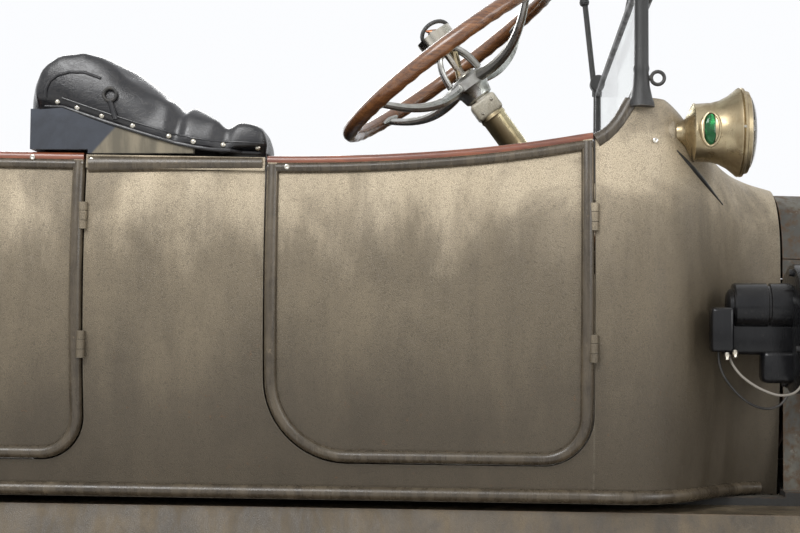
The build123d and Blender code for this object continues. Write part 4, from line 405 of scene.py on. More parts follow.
def core_face():
    """The radiator's cells: brass edges round each cell, the cell's inside painted near black as painted
    shade of the opening.
    """
    made, shader, place = material("radiator cells", metallic=0.8)
    wall = place.cells("DISTANCE_TO_EDGE", Scale=110.0, Randomness=0.0).ramp(0.05, 0.12)
    # Painted shade: the inside of each cell is near black, the brass shows only at its edges
    colour = wall.blend((0.30, 0.22, 0.10), (0.010, 0.009, 0.008))
    give(shader, Base_Color=colour, Roughness=wall.ramp(0.0, 1.0, 0.4, 0.8))
    relief(shader, 1.0 - wall, 0.9, 0.004)
    return made


# Finishes: painted takes a dark tone, a light tone and what shows where the paint is gone

BODY = body_paint()
SHELL = seat_shell()
HOOD = hood_metal()
FENDER = painted(
    "fender enamel", (0.016, 0.016, 0.015), (0.045, 0.043, 0.038), (0.11, 0.075, 0.045), dust=0.5
)
APRON = painted(
    "splash apron paint", (0.058, 0.044, 0.027), (0.165, 0.124, 0.074), (0.16, 0.095, 0.05),
    size=9.0, dust=0.15,
)
CHASSIS = painted(
    "chassis black", (0.013, 0.013, 0.012), (0.036, 0.033, 0.028), (0.10, 0.055, 0.03),
    rough=(0.55, 0.8), dust=0.5,
)
IRON = painted(
    "black ironwork", (0.012, 0.012, 0.012), (0.030, 0.029, 0.027), (0.10, 0.085, 0.07),
    rough=(0.3, 0.5), crack=900.0, dust=0.15,
)
ENGINE = painted(
    "engine iron", (0.060, 0.060, 0.057), (0.115, 0.112, 0.105), (0.09, 0.05, 0.03),
    rough=(0.55, 0.8), crack=200.0, dust=0.4,
)
RUST = painted(
    "rusted pipe", (0.085, 0.038, 0.018), (0.150, 0.075, 0.040), (0.19, 0.10, 0.05),
    rough=(0.7, 0.9), crack=500.0, dust=0.3,
)
SPRING = painted(
    "greased spring steel", (0.020, 0.018, 0.016), (0.055, 0.046, 0.038), (0.15, 0.12, 0.09),
    rough=(0.4, 0.65), crack=600.0, dust=0.3,
)
HORN = painted(
    "horn enamel", (0.007, 0.007, 0.008), (0.015, 0.015, 0.016), (0.06, 0.055, 0.05),
    rough=(0.16, 0.30), crack=1100.0, bump=0.05, dust=0.05, edge=0.5,
)
give(HORN.node_tree.nodes["Principled BSDF"].inputs, Specular_IOR_Level=0.3)
BEADING = painted(
    "rubbed bead paint", (0.046, 0.035, 0.023), (0.125, 0.098, 0.064), (0.30, 0.23, 0.15),
    rough=(0.22, 0.36), crack=700.0, bump=0.12, size=14.0, dust=0.10, edge=0.4,
)
CREAM = painted(
    "aged cream enamel", (0.42, 0.38, 0.29), (0.60, 0.56, 0.46), (0.10, 0.07, 0.04),
    rough=(0.3, 0.45), crack=300.0, bump=0.1, size=20.0, dust=0.1,
)
LEAD = painted(
    "lead covering", (0.20, 0.18, 0.15), (0.32, 0.29, 0.25), (0.10, 0.09, 0.08),
    rough=(0.5, 0.7), crack=900.0, dust=0.0, edge=0.2,
)
BRASS = metal(
    "aged lamp brass", (0.46, 0.38, 0.24), (0.22, 0.16, 0.09), (0.26, 0.48), edge=(0.66, 0.56, 0.38)
)
BRIGHT = metal("worn nickel", (0.60, 0.57, 0.50), (0.34, 0.30, 0.23), (0.2, 0.4))
STEEL = metal("dull steel", (0.34, 0.33, 0.31), (0.16, 0.13, 0.10), (0.35, 0.6))
ALLOY = metal("cast aluminium", (0.52, 0.52, 0.50), (0.26, 0.25, 0.22), (0.26, 0.45), size=22.0)
COPPER = metal("copper lever", (0.45, 0.18, 0.09), (0.16, 0.07, 0.04), (0.3, 0.5), size=30.0)
COLUMN_METAL = metal(
    "column nickel over brass", (0.56, 0.47, 0.30), (0.30, 0.23, 0.13), (0.24, 0.42), size=12.0
)
OAK = wood("body floor wood", (0.20, 0.115, 0.055), (0.095, 0.050, 0.024), coat=0.1, rough=0.6)
DASH = wood(
    "varnished dash wood", (0.24, 0.10, 0.040), (0.10, 0.036, 0.014), turn=(0, 0, pi / 2), coat=0.7
)
RIM = wood(
    "steering rim wood", (0.29, 0.125, 0.045), (0.105, 0.040, 0.015),
    coat=0.8, rough=0.35, worn=(0.34, 0.17, 0.08),
)
CAP = wood("varnished cap wood", (0.30, 0.085, 0.030), (0.120, 0.030, 0.012), coat=0.7, rough=0.38)
BOARD = wood("running board wood", (0.13, 0.085, 0.052), (0.060, 0.038, 0.024), coat=0.0, rough=0.7)
FRONT_WHEEL = wheel_finish("front wheel wood and iron", FRONT_AXLE_X)
REAR_WHEEL = wheel_finish("rear wheel wood and iron", REAR_AXLE_X)
FRONT_TREAD = rubber("front tyre tread", FRONT_AXLE_X)
REAR_TREAD = rubber("rear tyre tread", REAR_AXLE_X)
TYRE = rubber("aged tyre rubber")
LEATHER = leather()
PIPING = leather("welt leather", 700.0)
GLASS = glass("window glass", (0.90, 0.95, 0.92))
JEWEL = glass("green jewel glass", (0.02, 0.30, 0.13))
LENS = glass("lamp glass", (0.86, 0.92, 0.90))
CORE = core_face()

FINISH = {
    SHELL: "front_seat_shell",
    BODY: "body_sides rear_tub cowl front_door_right front_door_left rear_door_right rear_door_left",
    HOOD: "hood_right hood_left hood_sides",
    FENDER: "front_fenders rear_fenders",
    APRON: "aprons",
    CHASSIS: "frame front_axle rear_axle knuckle_right knuckle_left tie_rod pitman_arm drag_link "
             "spare_carrier",
    IRON: "windshield_frame controls",
    ENGINE: "engine",
    RUST: "exhaust",
    SPRING: "springs hood_rod",
    BRASS: "cowl_lamps headlamps tail_lamp radiator",
    BRIGHT: "steering_column",
    STEEL: "spare_rim",
    HORN: "horn",
    OAK: "floor seat_bases toe_board firewall",
    DASH: "dash_panel",
    RIM: "steering_wheel",
    FRONT_WHEEL: "wheel_front_right wheel_front_left",
    REAR_WHEEL: "wheel_rear_right wheel_rear_left",
    BOARD: "running_boards",
    LEATHER: "front_cushion front_seat_back rear_cushion rear_seat_back",
    FRONT_TREAD: "tyre_front_right tyre_front_left",
    REAR_TREAD: "tyre_rear_right tyre_rear_left",
    TYRE: "spare_tyre",
    GLASS: "windshield_glass",
    CORE: "radiator_core",
}
for finish, names in FINISH.items():
    for name in names.split():
        mesh = NODES[name].data
        if mesh.materials:
            mesh.materials[0] = finish
        else:
            mesh.materials.append(finish)

# Modelling helpers

def alone(piece=None):
    """Nothing is selected but this piece."""
    bpy.ops.object.select_all(action="DESELECT")
    if piece:
        piece.select_set(True)
        bpy.context.view_layer.objects.active = piece


def pick(piece, test):
    """Goes into edit mode with the faces that pass a test selected."""
    alone(piece)
    bpy.ops.object.mode_set(mode="EDIT")
    bpy.ops.mesh.select_mode(type="FACE")
    bpy.ops.mesh.select_all(action="DESELECT")
    shape = bmesh.from_edit_mesh(piece.data)
    for face in shape.faces:
        face.select_set(bool(test(face)))
    bmesh.update_edit_mesh(piece.data)


def done(piece, name, finish, body="chassis", angle=35):
    """The finished piece: place in its mesh, smooth, with its finish, moving with its body."""
    alone(piece)
    bpy.ops.object.transform_apply(location=True, rotation=True, scale=True)
    bpy.ops.object.shade_smooth_by_angle(angle=radians(angle))
    piece.name = piece.data.name = name
    piece.data.materials.clear()
    piece.data.materials.append(finish)
    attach(piece, body)
    return piece


def tube(name, points, radius, finish, body="chassis", slot=None, closed=False, sides=3, widths=None):
    """A round bar along points; widths are factors of its radius at each."""
    curve = bpy.data.curves.new(name, "CURVE")
    curve.dimensions = "3D"
    curve.bevel_depth = radius
    curve.bevel_resolution = sides
    curve.use_fill_caps = not closed
    line = curve.splines.new("POLY")
    line.points.add(len(points) - 1)
    for index, place in enumerate(points):
        line.points[index].co = (*place, 1.0)
        line.points[index].radius = widths[index] if widths else 1.0
    line.use_cyclic_u = closed
    made = bpy.data.objects.new(name, curve)
    bpy.context.scene.collection.objects.link(made)
    alone(made)
    bpy.ops.object.convert(target="MESH")
    return done(bpy.context.object, name, finish, body)


def turned(name, place, direction, profile, finish, body="chassis", slot=None, sides=40, angle=30):
    """A round piece raised from a disc: its end face is carried on and resized at each step."""
    alone()
    (first, radius), (second, last) = profile[:2]
    bpy.ops.mesh.primitive_cylinder_add(
        vertices=sides, radius=radius, depth=second - first, location=(0, 0, (first + second) / 2)
    )
    made = bpy.context.object
    bpy.ops.object.transform_apply(location=True, rotation=False, scale=False)
    pick(made, lambda face: face.calc_center_median().z > second - 1e-5)
    bpy.ops.transform.resize(value=(last / radius, last / radius, 1), center_override=(0, 0, second))
    height = second
    for level, wide in profile[2:]:
        bpy.ops.mesh.extrude_region_move(TRANSFORM_OT_translate={"value": (0, 0, level - height)})
        bpy.ops.transform.resize(value=(wide / last, wide / last, 1), center_override=(0, 0, level))
        height, last = level, wide
    bpy.ops.object.mode_set(mode="OBJECT")
    made.rotation_euler = Vector(direction).to_track_quat("Z", "Y").to_euler()
    made.location = place
    return done(made, name, finish, body, angle)


def block(low, high, edge):
    """A block between two corners, with rounded edges."""
    alone()
    low, high = Vector(low), Vector(high)
    bpy.ops.mesh.primitive_cube_add(size=1, location=(low + high) / 2)
    made = bpy.context.object
    made.scale = high - low
    bpy.ops.object.transform_apply(location=True, rotation=False, scale=True)
    bpy.ops.object.mode_set(mode="EDIT")
    bpy.ops.mesh.select_all(action="SELECT")
    bpy.ops.mesh.bevel(offset=edge, segments=3, affect="EDGES")
    bpy.ops.object.mode_set(mode="OBJECT")
    return made


def slab(name, low, high, edge, finish, slot=None):
    """A finished block on the chassis."""
    return done(block(low, high, edge), name, finish)


def own_copy(piece):
    """A copy with its own mesh, at the origin."""
    made = piece.copy()
    made.data = piece.data.copy()
    made.parent = None
    bpy.context.scene.collection.objects.link(made)
    made.matrix_world = Matrix.Identity(4)
    return made


def twin(piece, name, body="chassis"):
    """The same piece on the left side, turned right side out."""
    made = own_copy(piece)
    made.data.transform(Matrix.Scale(-1, 4, (0, 1, 0)))
    made.data.flip_normals()
    made.name = made.data.name = name
    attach(made, body)
    return made


def twins(*pieces):
    """The left twins of pieces that ride on the chassis."""
    for piece in pieces:
        twin(piece, piece.name + "_left")


def parts(count):
    """Evenly spaced numbers from 0 to 1."""
    return [i / count for i in range(count + 1)]


def circle(count):
    """Evenly spaced angles round a circle."""
    return [2 * pi * i / count for i in range(count)]


# The body's outline, in metres

WALL_RADIUS, BULGE, BULGE_Z = 1.5, 0.6, 1.0
FRONT_DOOR = (-0.222, 0.312)
REAR_DOOR = (-1.078, -0.518)
DOOR_LOW = 0.690
FENDER_CENTRE, FENDER_CUT = (-1.450, 0.432), 0.572


def wall_y(z):
    """The right wall's face at a height."""
    return -(BULGE - WALL_RADIUS + sqrt(WALL_RADIUS ** 2 - (z - BULGE_Z) ** 2))


def surface(*names):
    """The CAD nodes' faces, for finding where a line meets them."""
    shape = bmesh.new()
    for name in names:
        shape.from_mesh(NODES[name].data)
    made = BVHTree.FromBMesh(shape)
    shape.free()
    return made


def belt_tops():
    """Height of the right wall's top, station by station."""
    walls = surface("body_sides", "front_door_right", "rear_door_right", "rear_tub")
    step, wall_middle_y, above, lowest = 0.004, -0.578, 1.5, 1.1
    spots = []
    for i in range(-280, 80):
        hit = walls.ray_cast(Vector((i * step, wall_middle_y, above)), Vector((0, 0, -1)))[0]
        if hit and hit.z > lowest:
            spots.append((hit.x, hit.z))
    return spots


def belt_z(x):
    """Height of the belt's top at a station."""
    for (x_one, z_one), (x_two, z_two) in zip(BELT_TOPS, BELT_TOPS[1:]):
        if x_one <= x <= x_two:
            return z_one + (z_two - z_one) * (x - x_one) / (x_two - x_one)
    return BELT_TOPS[0][1] if x < BELT_TOPS[0][0] else BELT_TOPS[-1][1]


def arc(centre, radius, start, end, steps):
    """Points of an arc in X and Z."""
    angles = [start + (end - start) * t for t in parts(steps)]
    return [(centre[0] + radius * cos(a), centre[1] + radius * sin(a)) for a in angles]


def evenly(points, step=0.02):
    """The same line with a point at least every step."""
    out = [points[0]]
    for first, second in zip(points, points[1:]):
        gap = sqrt(sum((b - a) ** 2 for a, b in zip(first, second)))
        count = max(1, int(gap / step))
        for i in range(1, count + 1):
            out.append(tuple(a + (b - a) * i / count for a, b in zip(first, second)))
    return out


def rounded(points):
    """A smooth line through points, five parts to each gap."""
    spots = [Vector(p) for p in points]
    spots = [spots[0], *spots, spots[-1]]
    out = []
    for one, two, three, four in zip(spots, spots[1:], spots[2:], spots[3:]):
        for t in parts(5)[:-1]:
            out.append(0.5 * (
                2 * two + (three - one) * t + (2 * one - 5 * two + 4 * three - four) * t * t
                + (3 * two - one - 3 * three + four) * t ** 3
            ))
    out.append(spots[-1])
    return out


def on_wall(points):
    """X and Z points set on the right wall's face."""
    return [(x, wall_y(z), z) for x, z in points]


def from_right(faces, x, z):
    """Where a line from the right side first meets faces."""
    outside_y = -0.9
    return faces.ray_cast(Vector((x, outside_y, z)), Vector((0, 1, 0)))[0]


# Doors and belt

BEAD_INSET, BEAD_RADIUS = 0.0125, 0.0104
RAIL_DROP, RAIL_RADIUS = 0.0165, 0.0092
CAP_GAP, CAP_RISE = 0.004, 0.003
PANEL_REAR, PANEL_LONG, PANEL_RADIUS, PANEL_TAPER = -0.514, 0.288, 0.0165, 0.34
SILL_REAR, SILL_STEP, SILL_STEPS, SILL_Z, SILL_RADIUS = -1.105, 0.0182, 95, 0.6425, 0.0108
CAP_SECTION = (
    # across from the wall's face, up from the cap's top
    (-0.0085, -0.0115), (-0.0095, -0.006), (-0.0065, -0.001), (-0.002, 0.0), (0.030, 0.0),
    (0.034, -0.002), (0.034, -0.0115),
)
EAR_LINE = (
    (0.3135, 1.2135), (0.328, 1.221), (0.340, 1.231), (0.350, 1.243), (0.358, 1.256), (0.3645, 1.268),
    (0.371, 1.279),
)
BODY_SCREWS = (
    # station, height, how far it stands out of the wall, body
    (-0.607, 1.186, 0.0085, "rear_door_right"), (-0.5085, 1.181, 0.008, "chassis"),
    (-0.1855, 1.170, 0.0085, "front_door_right"), (0.366, 1.2117, 0.0, "chassis"),
    (0.408, 1.2150, -0.003, "chassis"),
)


def door_line(span, radii, inset):
    """X and Z points round a door's edge, from its top on the rear side to its top on the front side."""
    rear, front = span[0] + inset, span[1] - inset
    low = DOOR_LOW + inset
    turn = radii[1] - inset
    front_side = arc((front - turn, low + turn), turn, -pi / 2, 0.0, 10)
    if radii[0] is None:
        reach = FENDER_CUT + inset
        start = acos((rear - FENDER_CENTRE[0]) / reach)
        end = asin((low - FENDER_CENTRE[1]) / reach)
        rear_side = arc(FENDER_CENTRE, reach, start, end, 16)
    else:
        bend = radii[0] - inset
        rear_side = arc((rear + bend, low + bend), bend, pi, 1.5 * pi, 12)
    under_belt = 0.012
    top_rear, top_front = ((x, belt_z(x) - under_belt) for x in (rear, front))
    return evenly([top_rear, *rear_side, *front_side, top_front])


def door_trim(body, span, radii):
    """One door's raised bead, belt rail and wood cap."""
    bead_line = on_wall(door_line(span, radii, BEAD_INSET))
    bead = tube(f"bead_{body}", bead_line, BEAD_RADIUS, BEADING, body, "body_paint", sides=4)
    low, high = span[0] + CAP_GAP, span[1] - CAP_GAP
    xs = [low + (high - low) * t for t in parts(24)]
    rail_line = on_wall([(x, belt_z(x) - RAIL_DROP) for x in xs])
    rail = tube(f"rail_{body}", rail_line, RAIL_RADIUS, BEADING, body, "body_paint", sides=4)
    return bead, rail, cap_strip(f"cap_{body}", xs, body)


def cap_strip(name, xs, body):
    """Varnished wood laid along the belt, drawn out from one section."""
    alone()
    bpy.ops.mesh.primitive_plane_add(size=1, location=(0, 0, 0))
    made = bpy.context.object
    shape = bmesh.new()
    rings = []
    for x in xs:
        top = belt_z(x) + CAP_RISE
        face = wall_y(top)
        rings.append([shape.verts.new((x, face + across, top + up)) for across, up in CAP_SECTION])
    for one, two in zip(rings, rings[1:]):
        for i in range(len(one)):
            j = (i + 1) % len(one)
            shape.faces.new((one[i], one[j], two[j], two[i]))
    shape.faces.new(rings[0])
    shape.faces.new(list(reversed(rings[-1])))
    bmesh.ops.recalc_face_normals(shape, faces=shape.faces)
    shape.to_mesh(made.data)
    shape.free()
    return done(made, name, CAP, body, 50)


def body_trim():
    """Rolled edges between the doors, along the cowl's ear and the sill, with the body's screws."""
    points, widths = [], []
    above_belt, proud = 0.001, 0.0105
    for t in parts(20):
        x, wide = PANEL_REAR + PANEL_LONG * t, 1.0 - PANEL_TAPER * t
        radius = PANEL_RADIUS * wide
        z = belt_z(x) - radius + above_belt
        points.append((x, wall_y(z) + radius - proud, z))
        widths.append(wide)
    looks = {"finish": BEADING, "slot": "body_paint", "sides": 5}
    middle = tube("middle_panel_roll", points, PANEL_RADIUS, widths=widths, **looks)
    ear_sunk, sill_sunk, wall_above_sill_z = 0.0055, 0.0015, 0.664
    edge = [(x, wall_y(z) + ear_sunk, z) for x, z in evenly(EAR_LINE, 0.006)]
    roll = tube("cowl_edge_roll", edge, 0.0135, **looks)
    faces = surface("body_sides", "cowl")
    sill = []
    for i in range(SILL_STEPS):
        x = SILL_REAR + SILL_STEP * i
        hit = from_right(faces, x, wall_above_sill_z)
        if hit:
            sill.append((x, hit.y + sill_sunk, SILL_Z))
    sill_roll = tube("sill_roll", sill, SILL_RADIUS, **looks)
    screws = []
    for index, (x, z, proud, body) in enumerate(BODY_SCREWS):
        screws.append(screw_head(f"body_screw_{index + 1}", (x, wall_y(z) - proud, z), body))
    return [middle, roll, sill_roll, *screws]


def screw_head(name, place, body="chassis", radius=0.0042):
    """A screw's head with a raised ring and a sunk middle, facing out of the right side."""
    thick, step = 0.002, 0.0006
    alone()
    bpy.ops.mesh.primitive_cylinder_add(vertices=20, radius=radius, depth=thick, location=(0, 0, 0))
    made = bpy.context.object
    pick(made, lambda face: face.normal.z > 0.9)
    bpy.ops.mesh.inset(thickness=radius * 0.35, depth=step)
    bpy.ops.mesh.inset(thickness=radius * 0.25, depth=-step)
    bpy.ops.object.mode_set(mode="OBJECT")
    made.rotation_euler = (pi / 2, 0.4, 0)
    made.location = place
    return done(made, name, BRIGHT, body)


# Seats

CLOTH_FRAMES = 20
SHRINK = 0.004
PLEAT, PLEAT_WIDE, PLEAT_DEEP = 0.105, 0.022, 0.014
CUSHION_WIDE, CUSHION_DEEP, CUSHION_TOP = 0.020, 0.012, 0.93
BACK_HALF, BACK_LOW = 0.49, 0.98
ROLL_LOW, ROLL_RISE, ROLL_REAR, ROLL_STRETCH = 1.19, 1.30, -0.5, 1.22
ROLL_INNER, ROLL_MIDDLE, ROLL_OUTER = 0.46, 0.54, 0.592


def apply(piece, kind, **settings):
    """Adds a modifier with its settings to the active piece and applies it."""
    made = piece.modifiers.new(kind, kind)
    for key, value in settings.items():
        setattr(made, key, value)
    bpy.ops.object.modifier_apply(modifier=made.name)


def swell(piece, cap, pressure):
    """Cloth swelled by pressure, each point moved no further than the cap."""
    start = [vertex.co.copy() for vertex in piece.data.vertices]
    cloth = piece.modifiers.new("cloth", "CLOTH")
    cloth.settings.use_pressure = True
    cloth.settings.uniform_pressure_force = pressure
    cloth.settings.effector_weights.gravity = 0.0
    cloth.settings.quality = 4
    cloth.settings.mass = 0.3
    cloth.point_cache.frame_end = CLOTH_FRAMES
    for step in range(1, CLOTH_FRAMES + 1):
        bpy.context.scene.frame_set(step)
    alone(piece)
    bpy.ops.object.modifier_apply(modifier="cloth")
    bpy.context.scene.frame_set(1)
    moves = [vertex.co - before for vertex, before in zip(piece.data.vertices, start)]
    drift = sum(moves, Vector()) / len(moves)
    for vertex, before, move in zip(piece.data.vertices, start, moves):
        growth = move - drift
        vertex.co = before + growth * min(1.0, cap / max(growth.length, 1e-6))


def pad(name, node_name, cap, voxel, tucks, pressure=4.0, grow=None):
    """A CAD cushion made soft: remeshed, shrunk, swelled, smoothed, grown if asked, and pleated."""
    made = own_copy(NODES[node_name])
    alone(made)
    bpy.ops.object.mode_set(mode="EDIT")
    bpy.ops.mesh.select_all(action="SELECT")
    bpy.ops.mesh.remove_doubles(threshold=0.0001)
    bpy.ops.mesh.normals_make_consistent(inside=False)
    bpy.ops.object.mode_set(mode="OBJECT")
    apply(made, "REMESH", mode="VOXEL", voxel_size=voxel)
    apply(made, "DISPLACE", strength=-SHRINK, mid_level=0.0)
    swell(made, cap, pressure)
    apply(made, "SMOOTH", factor=0.5, iterations=10)
    for vertex in made.data.vertices:
        for change in (grow, *tucks):
            if change:
                change(vertex.co)
    apply(made, "SUBSURF", levels=1, render_levels=1)
    faces = BVHTree.FromObject(made, bpy.context.evaluated_depsgraph_get())
    done(made, name, LEATHER, angle=180)
    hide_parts(node_name)
    return faces


def arm_growth(spot):
    """Makes the seat back's top rise into the arm roll, and its rear bulge."""
    if spot.z > ROLL_LOW:
        spot.z = ROLL_LOW + (spot.z - ROLL_LOW) * ROLL_RISE
        if spot.x < ROLL_REAR:
            spot.x = ROLL_REAR + (spot.x - ROLL_REAR) * ROLL_STRETCH


def valley(distance, wide, deep):
    """Depth of a sewn channel at a distance from its seam."""
    near = max(0.0, 1.0 - abs(distance) / wide)
    return deep * near * near * (3 - 2 * near)


def seam_gap(y):
    """Distance across the car to the nearest pleat's seam."""
    return ((y / PLEAT + 0.5) % 1.0 - 0.5) * PLEAT


def upright_channels(x_face):
    """Pleats in a seat back's front."""
    def dent(spot):
        if abs(spot.y) < BACK_HALF and spot.z > BACK_LOW and spot.x > x_face:
            spot.x -= valley(seam_gap(spot.y), PLEAT_WIDE, PLEAT_DEEP)
    return dent


def cushion_channels(spot):
    """Pleats in a cushion's top."""
    if spot.z > CUSHION_TOP:
        spot.z -= valley(seam_gap(spot.y), CUSHION_WIDE, CUSHION_DEEP)


def wing_tuck(x, deep):
    """A pinch across the arm roll at one station."""
    lean, level, wide, inward, down = 0.15, 1.22, 0.020, 6.0, 0.8

    def dent(spot):
        if spot.z > ROLL_LOW and abs(spot.y) > ROLL_INNER:
            press = valley(spot.x - x - (spot.z - level) * lean, wide, deep)
            centre_y = ROLL_MIDDLE if spot.y > 0 else -ROLL_MIDDLE
            spot.y += (centre_y - spot.y) * press * inward
            spot.z -= press * down
    return dent


WELT_LINE = (
    (-0.592, 1.272), (-0.560, 1.270), (-0.520, 1.256), (-0.480, 1.2425), (-0.432, 1.2275), (-0.400, 1.218),
    (-0.368, 1.209), (-0.340, 1.203), (-0.312, 1.199), (-0.265, 1.197), (-0.226, 1.196),
)
PIPING_LINE = (
    (-0.590, 1.285), (-0.588, 1.300), (-0.581, 1.313), (-0.568, 1.322), (-0.548, 1.327), (-0.523, 1.326),
    (-0.495, 1.316),
)
STUDS = (
    (-0.5698, 1.279), (-0.5345, 1.268), (-0.4925, 1.254), (-0.4407, 1.2375), (-0.3808, 1.220),
    (-0.3394, 1.2110), (-0.2916, 1.2065), (-0.2375, 1.2045),
)
STUD_PROFILE = ((0, 0.0052), (0.0014, 0.0050), (0.0028, 0.0040), (0.0038, 0.0024), (0.0042, 0.0008))


def seats():
    """The four pads, and the front arm rolls' welts, stitching, piping, studs, rings and straps."""
    tucks = (wing_tuck(-0.372, 0.016), wing_tuck(-0.290, 0.014), upright_channels(-0.47))
    roll = pad("front_back_leather", "front_seat_back", 0.012, 0.008, tucks, 2.0, arm_growth)
    for name, node_name, dent in (
        ("front_cushion_leather", "front_cushion", cushion_channels),
        ("rear_cushion_leather", "rear_cushion", cushion_channels),
        ("rear_back_leather", "rear_seat_back", upright_channels(-1.68)),
    ):
        pad(name, node_name, 0.018, 0.009, (dent,))

    def side(x, z):
        """The arm roll's outer face at a station and height."""
        hit = from_right(roll, x, z)
        return hit.y if hit and hit.y < -0.5 else -ROLL_OUTER

    stitch_rise, step = 0.014, 0.012
    welt = [(x, side(x, z + 0.004) - 0.001, z) for x, z in evenly(WELT_LINE, step)]
    stitches = [
        (x, side(x, z + 0.020) - 0.0005, z + stitch_rise) for x, z in evenly(WELT_LINE[1:], step)
    ]
    piping = [(x, side(x, z) - 0.0008, z) for x, z in evenly(PIPING_LINE, 0.008)]
    for name, points, radius in (
        ("front_arm_welt", welt, 0.0034), ("front_arm_stitching", stitches, 0.0018),
        ("front_arm_piping", piping, 0.0024),
    ):
        twins(tube(name, points, radius, PIPING, slot="leather"))
    for index, (x, z) in enumerate(STUDS):
        place = (x, side(x, z) + 0.001, z)
        stud = turned(f"arm_stud_{index + 1}", place, (0, -1, 0), STUD_PROFILE, BRIGHT, sides=16, angle=60)
        twin(stud, f"arm_stud_left_{index + 1}")
    ring_x, ring_z, ring_radius = -0.4777, 1.288, 0.0105
    ring_place = Vector((ring_x, side(ring_x, ring_z) - 0.004, ring_z))
    loop = [ring_place + Vector((ring_radius * cos(a), 0, ring_radius * sin(a))) for a in circle(20)]
    tab = [ring_place + Vector((0.002 * i, 0.001, -0.011 - 0.006 * i)) for i in range(6)]
    twins(tube("arm_ring", loop, 0.0027, IRON, closed=True))
    twins(tube("arm_ring_strap", tab, 0.0045, LEATHER, slot="leather"))



# Steering wheel on its column

COLUMN_TOP = Vector((0.070, -0.331, 1.394))
COLUMN_FOOT = Vector((0.689, -0.268, 0.560))
DOWN = (COLUMN_FOOT - COLUMN_TOP).normalized()
ACROSS = Vector((0, 1, 0)).cross(DOWN).normalized()
SIDEWAYS = DOWN.cross(ACROSS).normalized()
RIM_RADIUS, RIM_THICK = 0.224, 0.0142
HUB_RADIUS, HUB_DEPTH = 0.020, 0.052
ARM_DROP, ARM_BOW = 0.045, 0.010
BLOCK_DEPTH, SLEEVE_DEPTH = 0.106, 0.122


def wheel_point(angle, radius, depth):
    """A point at an angle round the wheel, and a depth down the column."""
    return COLUMN_TOP + ACROSS * (radius * cos(angle)) + SIDEWAYS * (radius * sin(angle)) + DOWN * depth


def column_point(depth, across, sideways=0.0):
    """A point at a depth down the column, beside its axis."""
    return COLUMN_TOP + DOWN * depth + ACROSS * across + SIDEWAYS * sideways


def set_on_column(piece, depth, down):
    """Turns a piece's Z to the column's axis, down or up it, at a depth."""
    turn = Matrix((ACROSS, SIDEWAYS, DOWN * down)).transposed().to_4x4()
    piece.data.transform(Matrix.Translation(COLUMN_TOP + DOWN * depth) @ turn)


def steering_rim():
    """The wooden rim, with finger grips in its underside."""
    alone()
    bpy.ops.mesh.primitive_circle_add(
        vertices=16, radius=RIM_THICK, location=(RIM_RADIUS, 0, 0), rotation=(pi / 2, 0, 0)
    )
    rim = bpy.context.object
    bpy.ops.object.transform_apply(location=True, rotation=True, scale=True)
    bpy.ops.object.mode_set(mode="EDIT")
    bpy.ops.mesh.select_all(action="SELECT")
    bpy.ops.mesh.spin(steps=96, angle=2 * pi, center=(0, 0, 0), axis=(0, 0, 1))
    bpy.ops.mesh.select_all(action="SELECT")
    bpy.ops.mesh.remove_doubles(threshold=0.0002)
    bpy.ops.mesh.normals_make_consistent(inside=False)
    bpy.ops.object.mode_set(mode="OBJECT")
    grips, grip_depth = 40, 0.0016
    for vertex in rim.data.vertices:
        spot = vertex.co
        if spot.z < -0.004:
            spot.z += grip_depth * (0.5 + 0.5 * cos(atan2(spot.y, spot.x) * grips))
    set_on_column(rim, 0.0, -1)
    done(rim, "steering_rim", RIM, "steering_wheel", 60)
    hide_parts("steering_wheel")


def steering():
    """Rim, four dished aluminium arms and hub of the steering wheel."""
    steering_rim()
    looks = (ALLOY, "steering_wheel", "brass")
    for index in range(4):
        angle = pi / 4 + index * pi / 2
        points, widths = [], []
        for t in parts(16):
            radius = HUB_RADIUS + (RIM_RADIUS - 0.030) * t
            depth = HUB_DEPTH - ARM_DROP * t ** 2.4 + ARM_BOW * sin(pi * t)
            points.append(wheel_point(angle, radius, depth))
            widths.append(1.25 - 0.55 * t)
        tube(f"steering_arm_{index + 1}", points, 0.0088, *looks, widths=widths)
        foot = [wheel_point(angle + s, RIM_RADIUS - 0.013, 0.006) for s in (-0.10, -0.05, 0.0, 0.05, 0.10)]
        tube(f"steering_arm_foot_{index + 1}", foot, 0.0062, *looks, widths=(0.5, 0.9, 1.1, 0.9, 0.5))
    hub = (
        (0, 0.018), (0.004, 0.028), (0.010, 0.034), (0.026, 0.034), (0.034, 0.029), (0.048, 0.026),
        (0.052, 0.020),
    )
    turned("steering_hub", COLUMN_TOP + DOWN * 0.036, DOWN, hub, *looks)


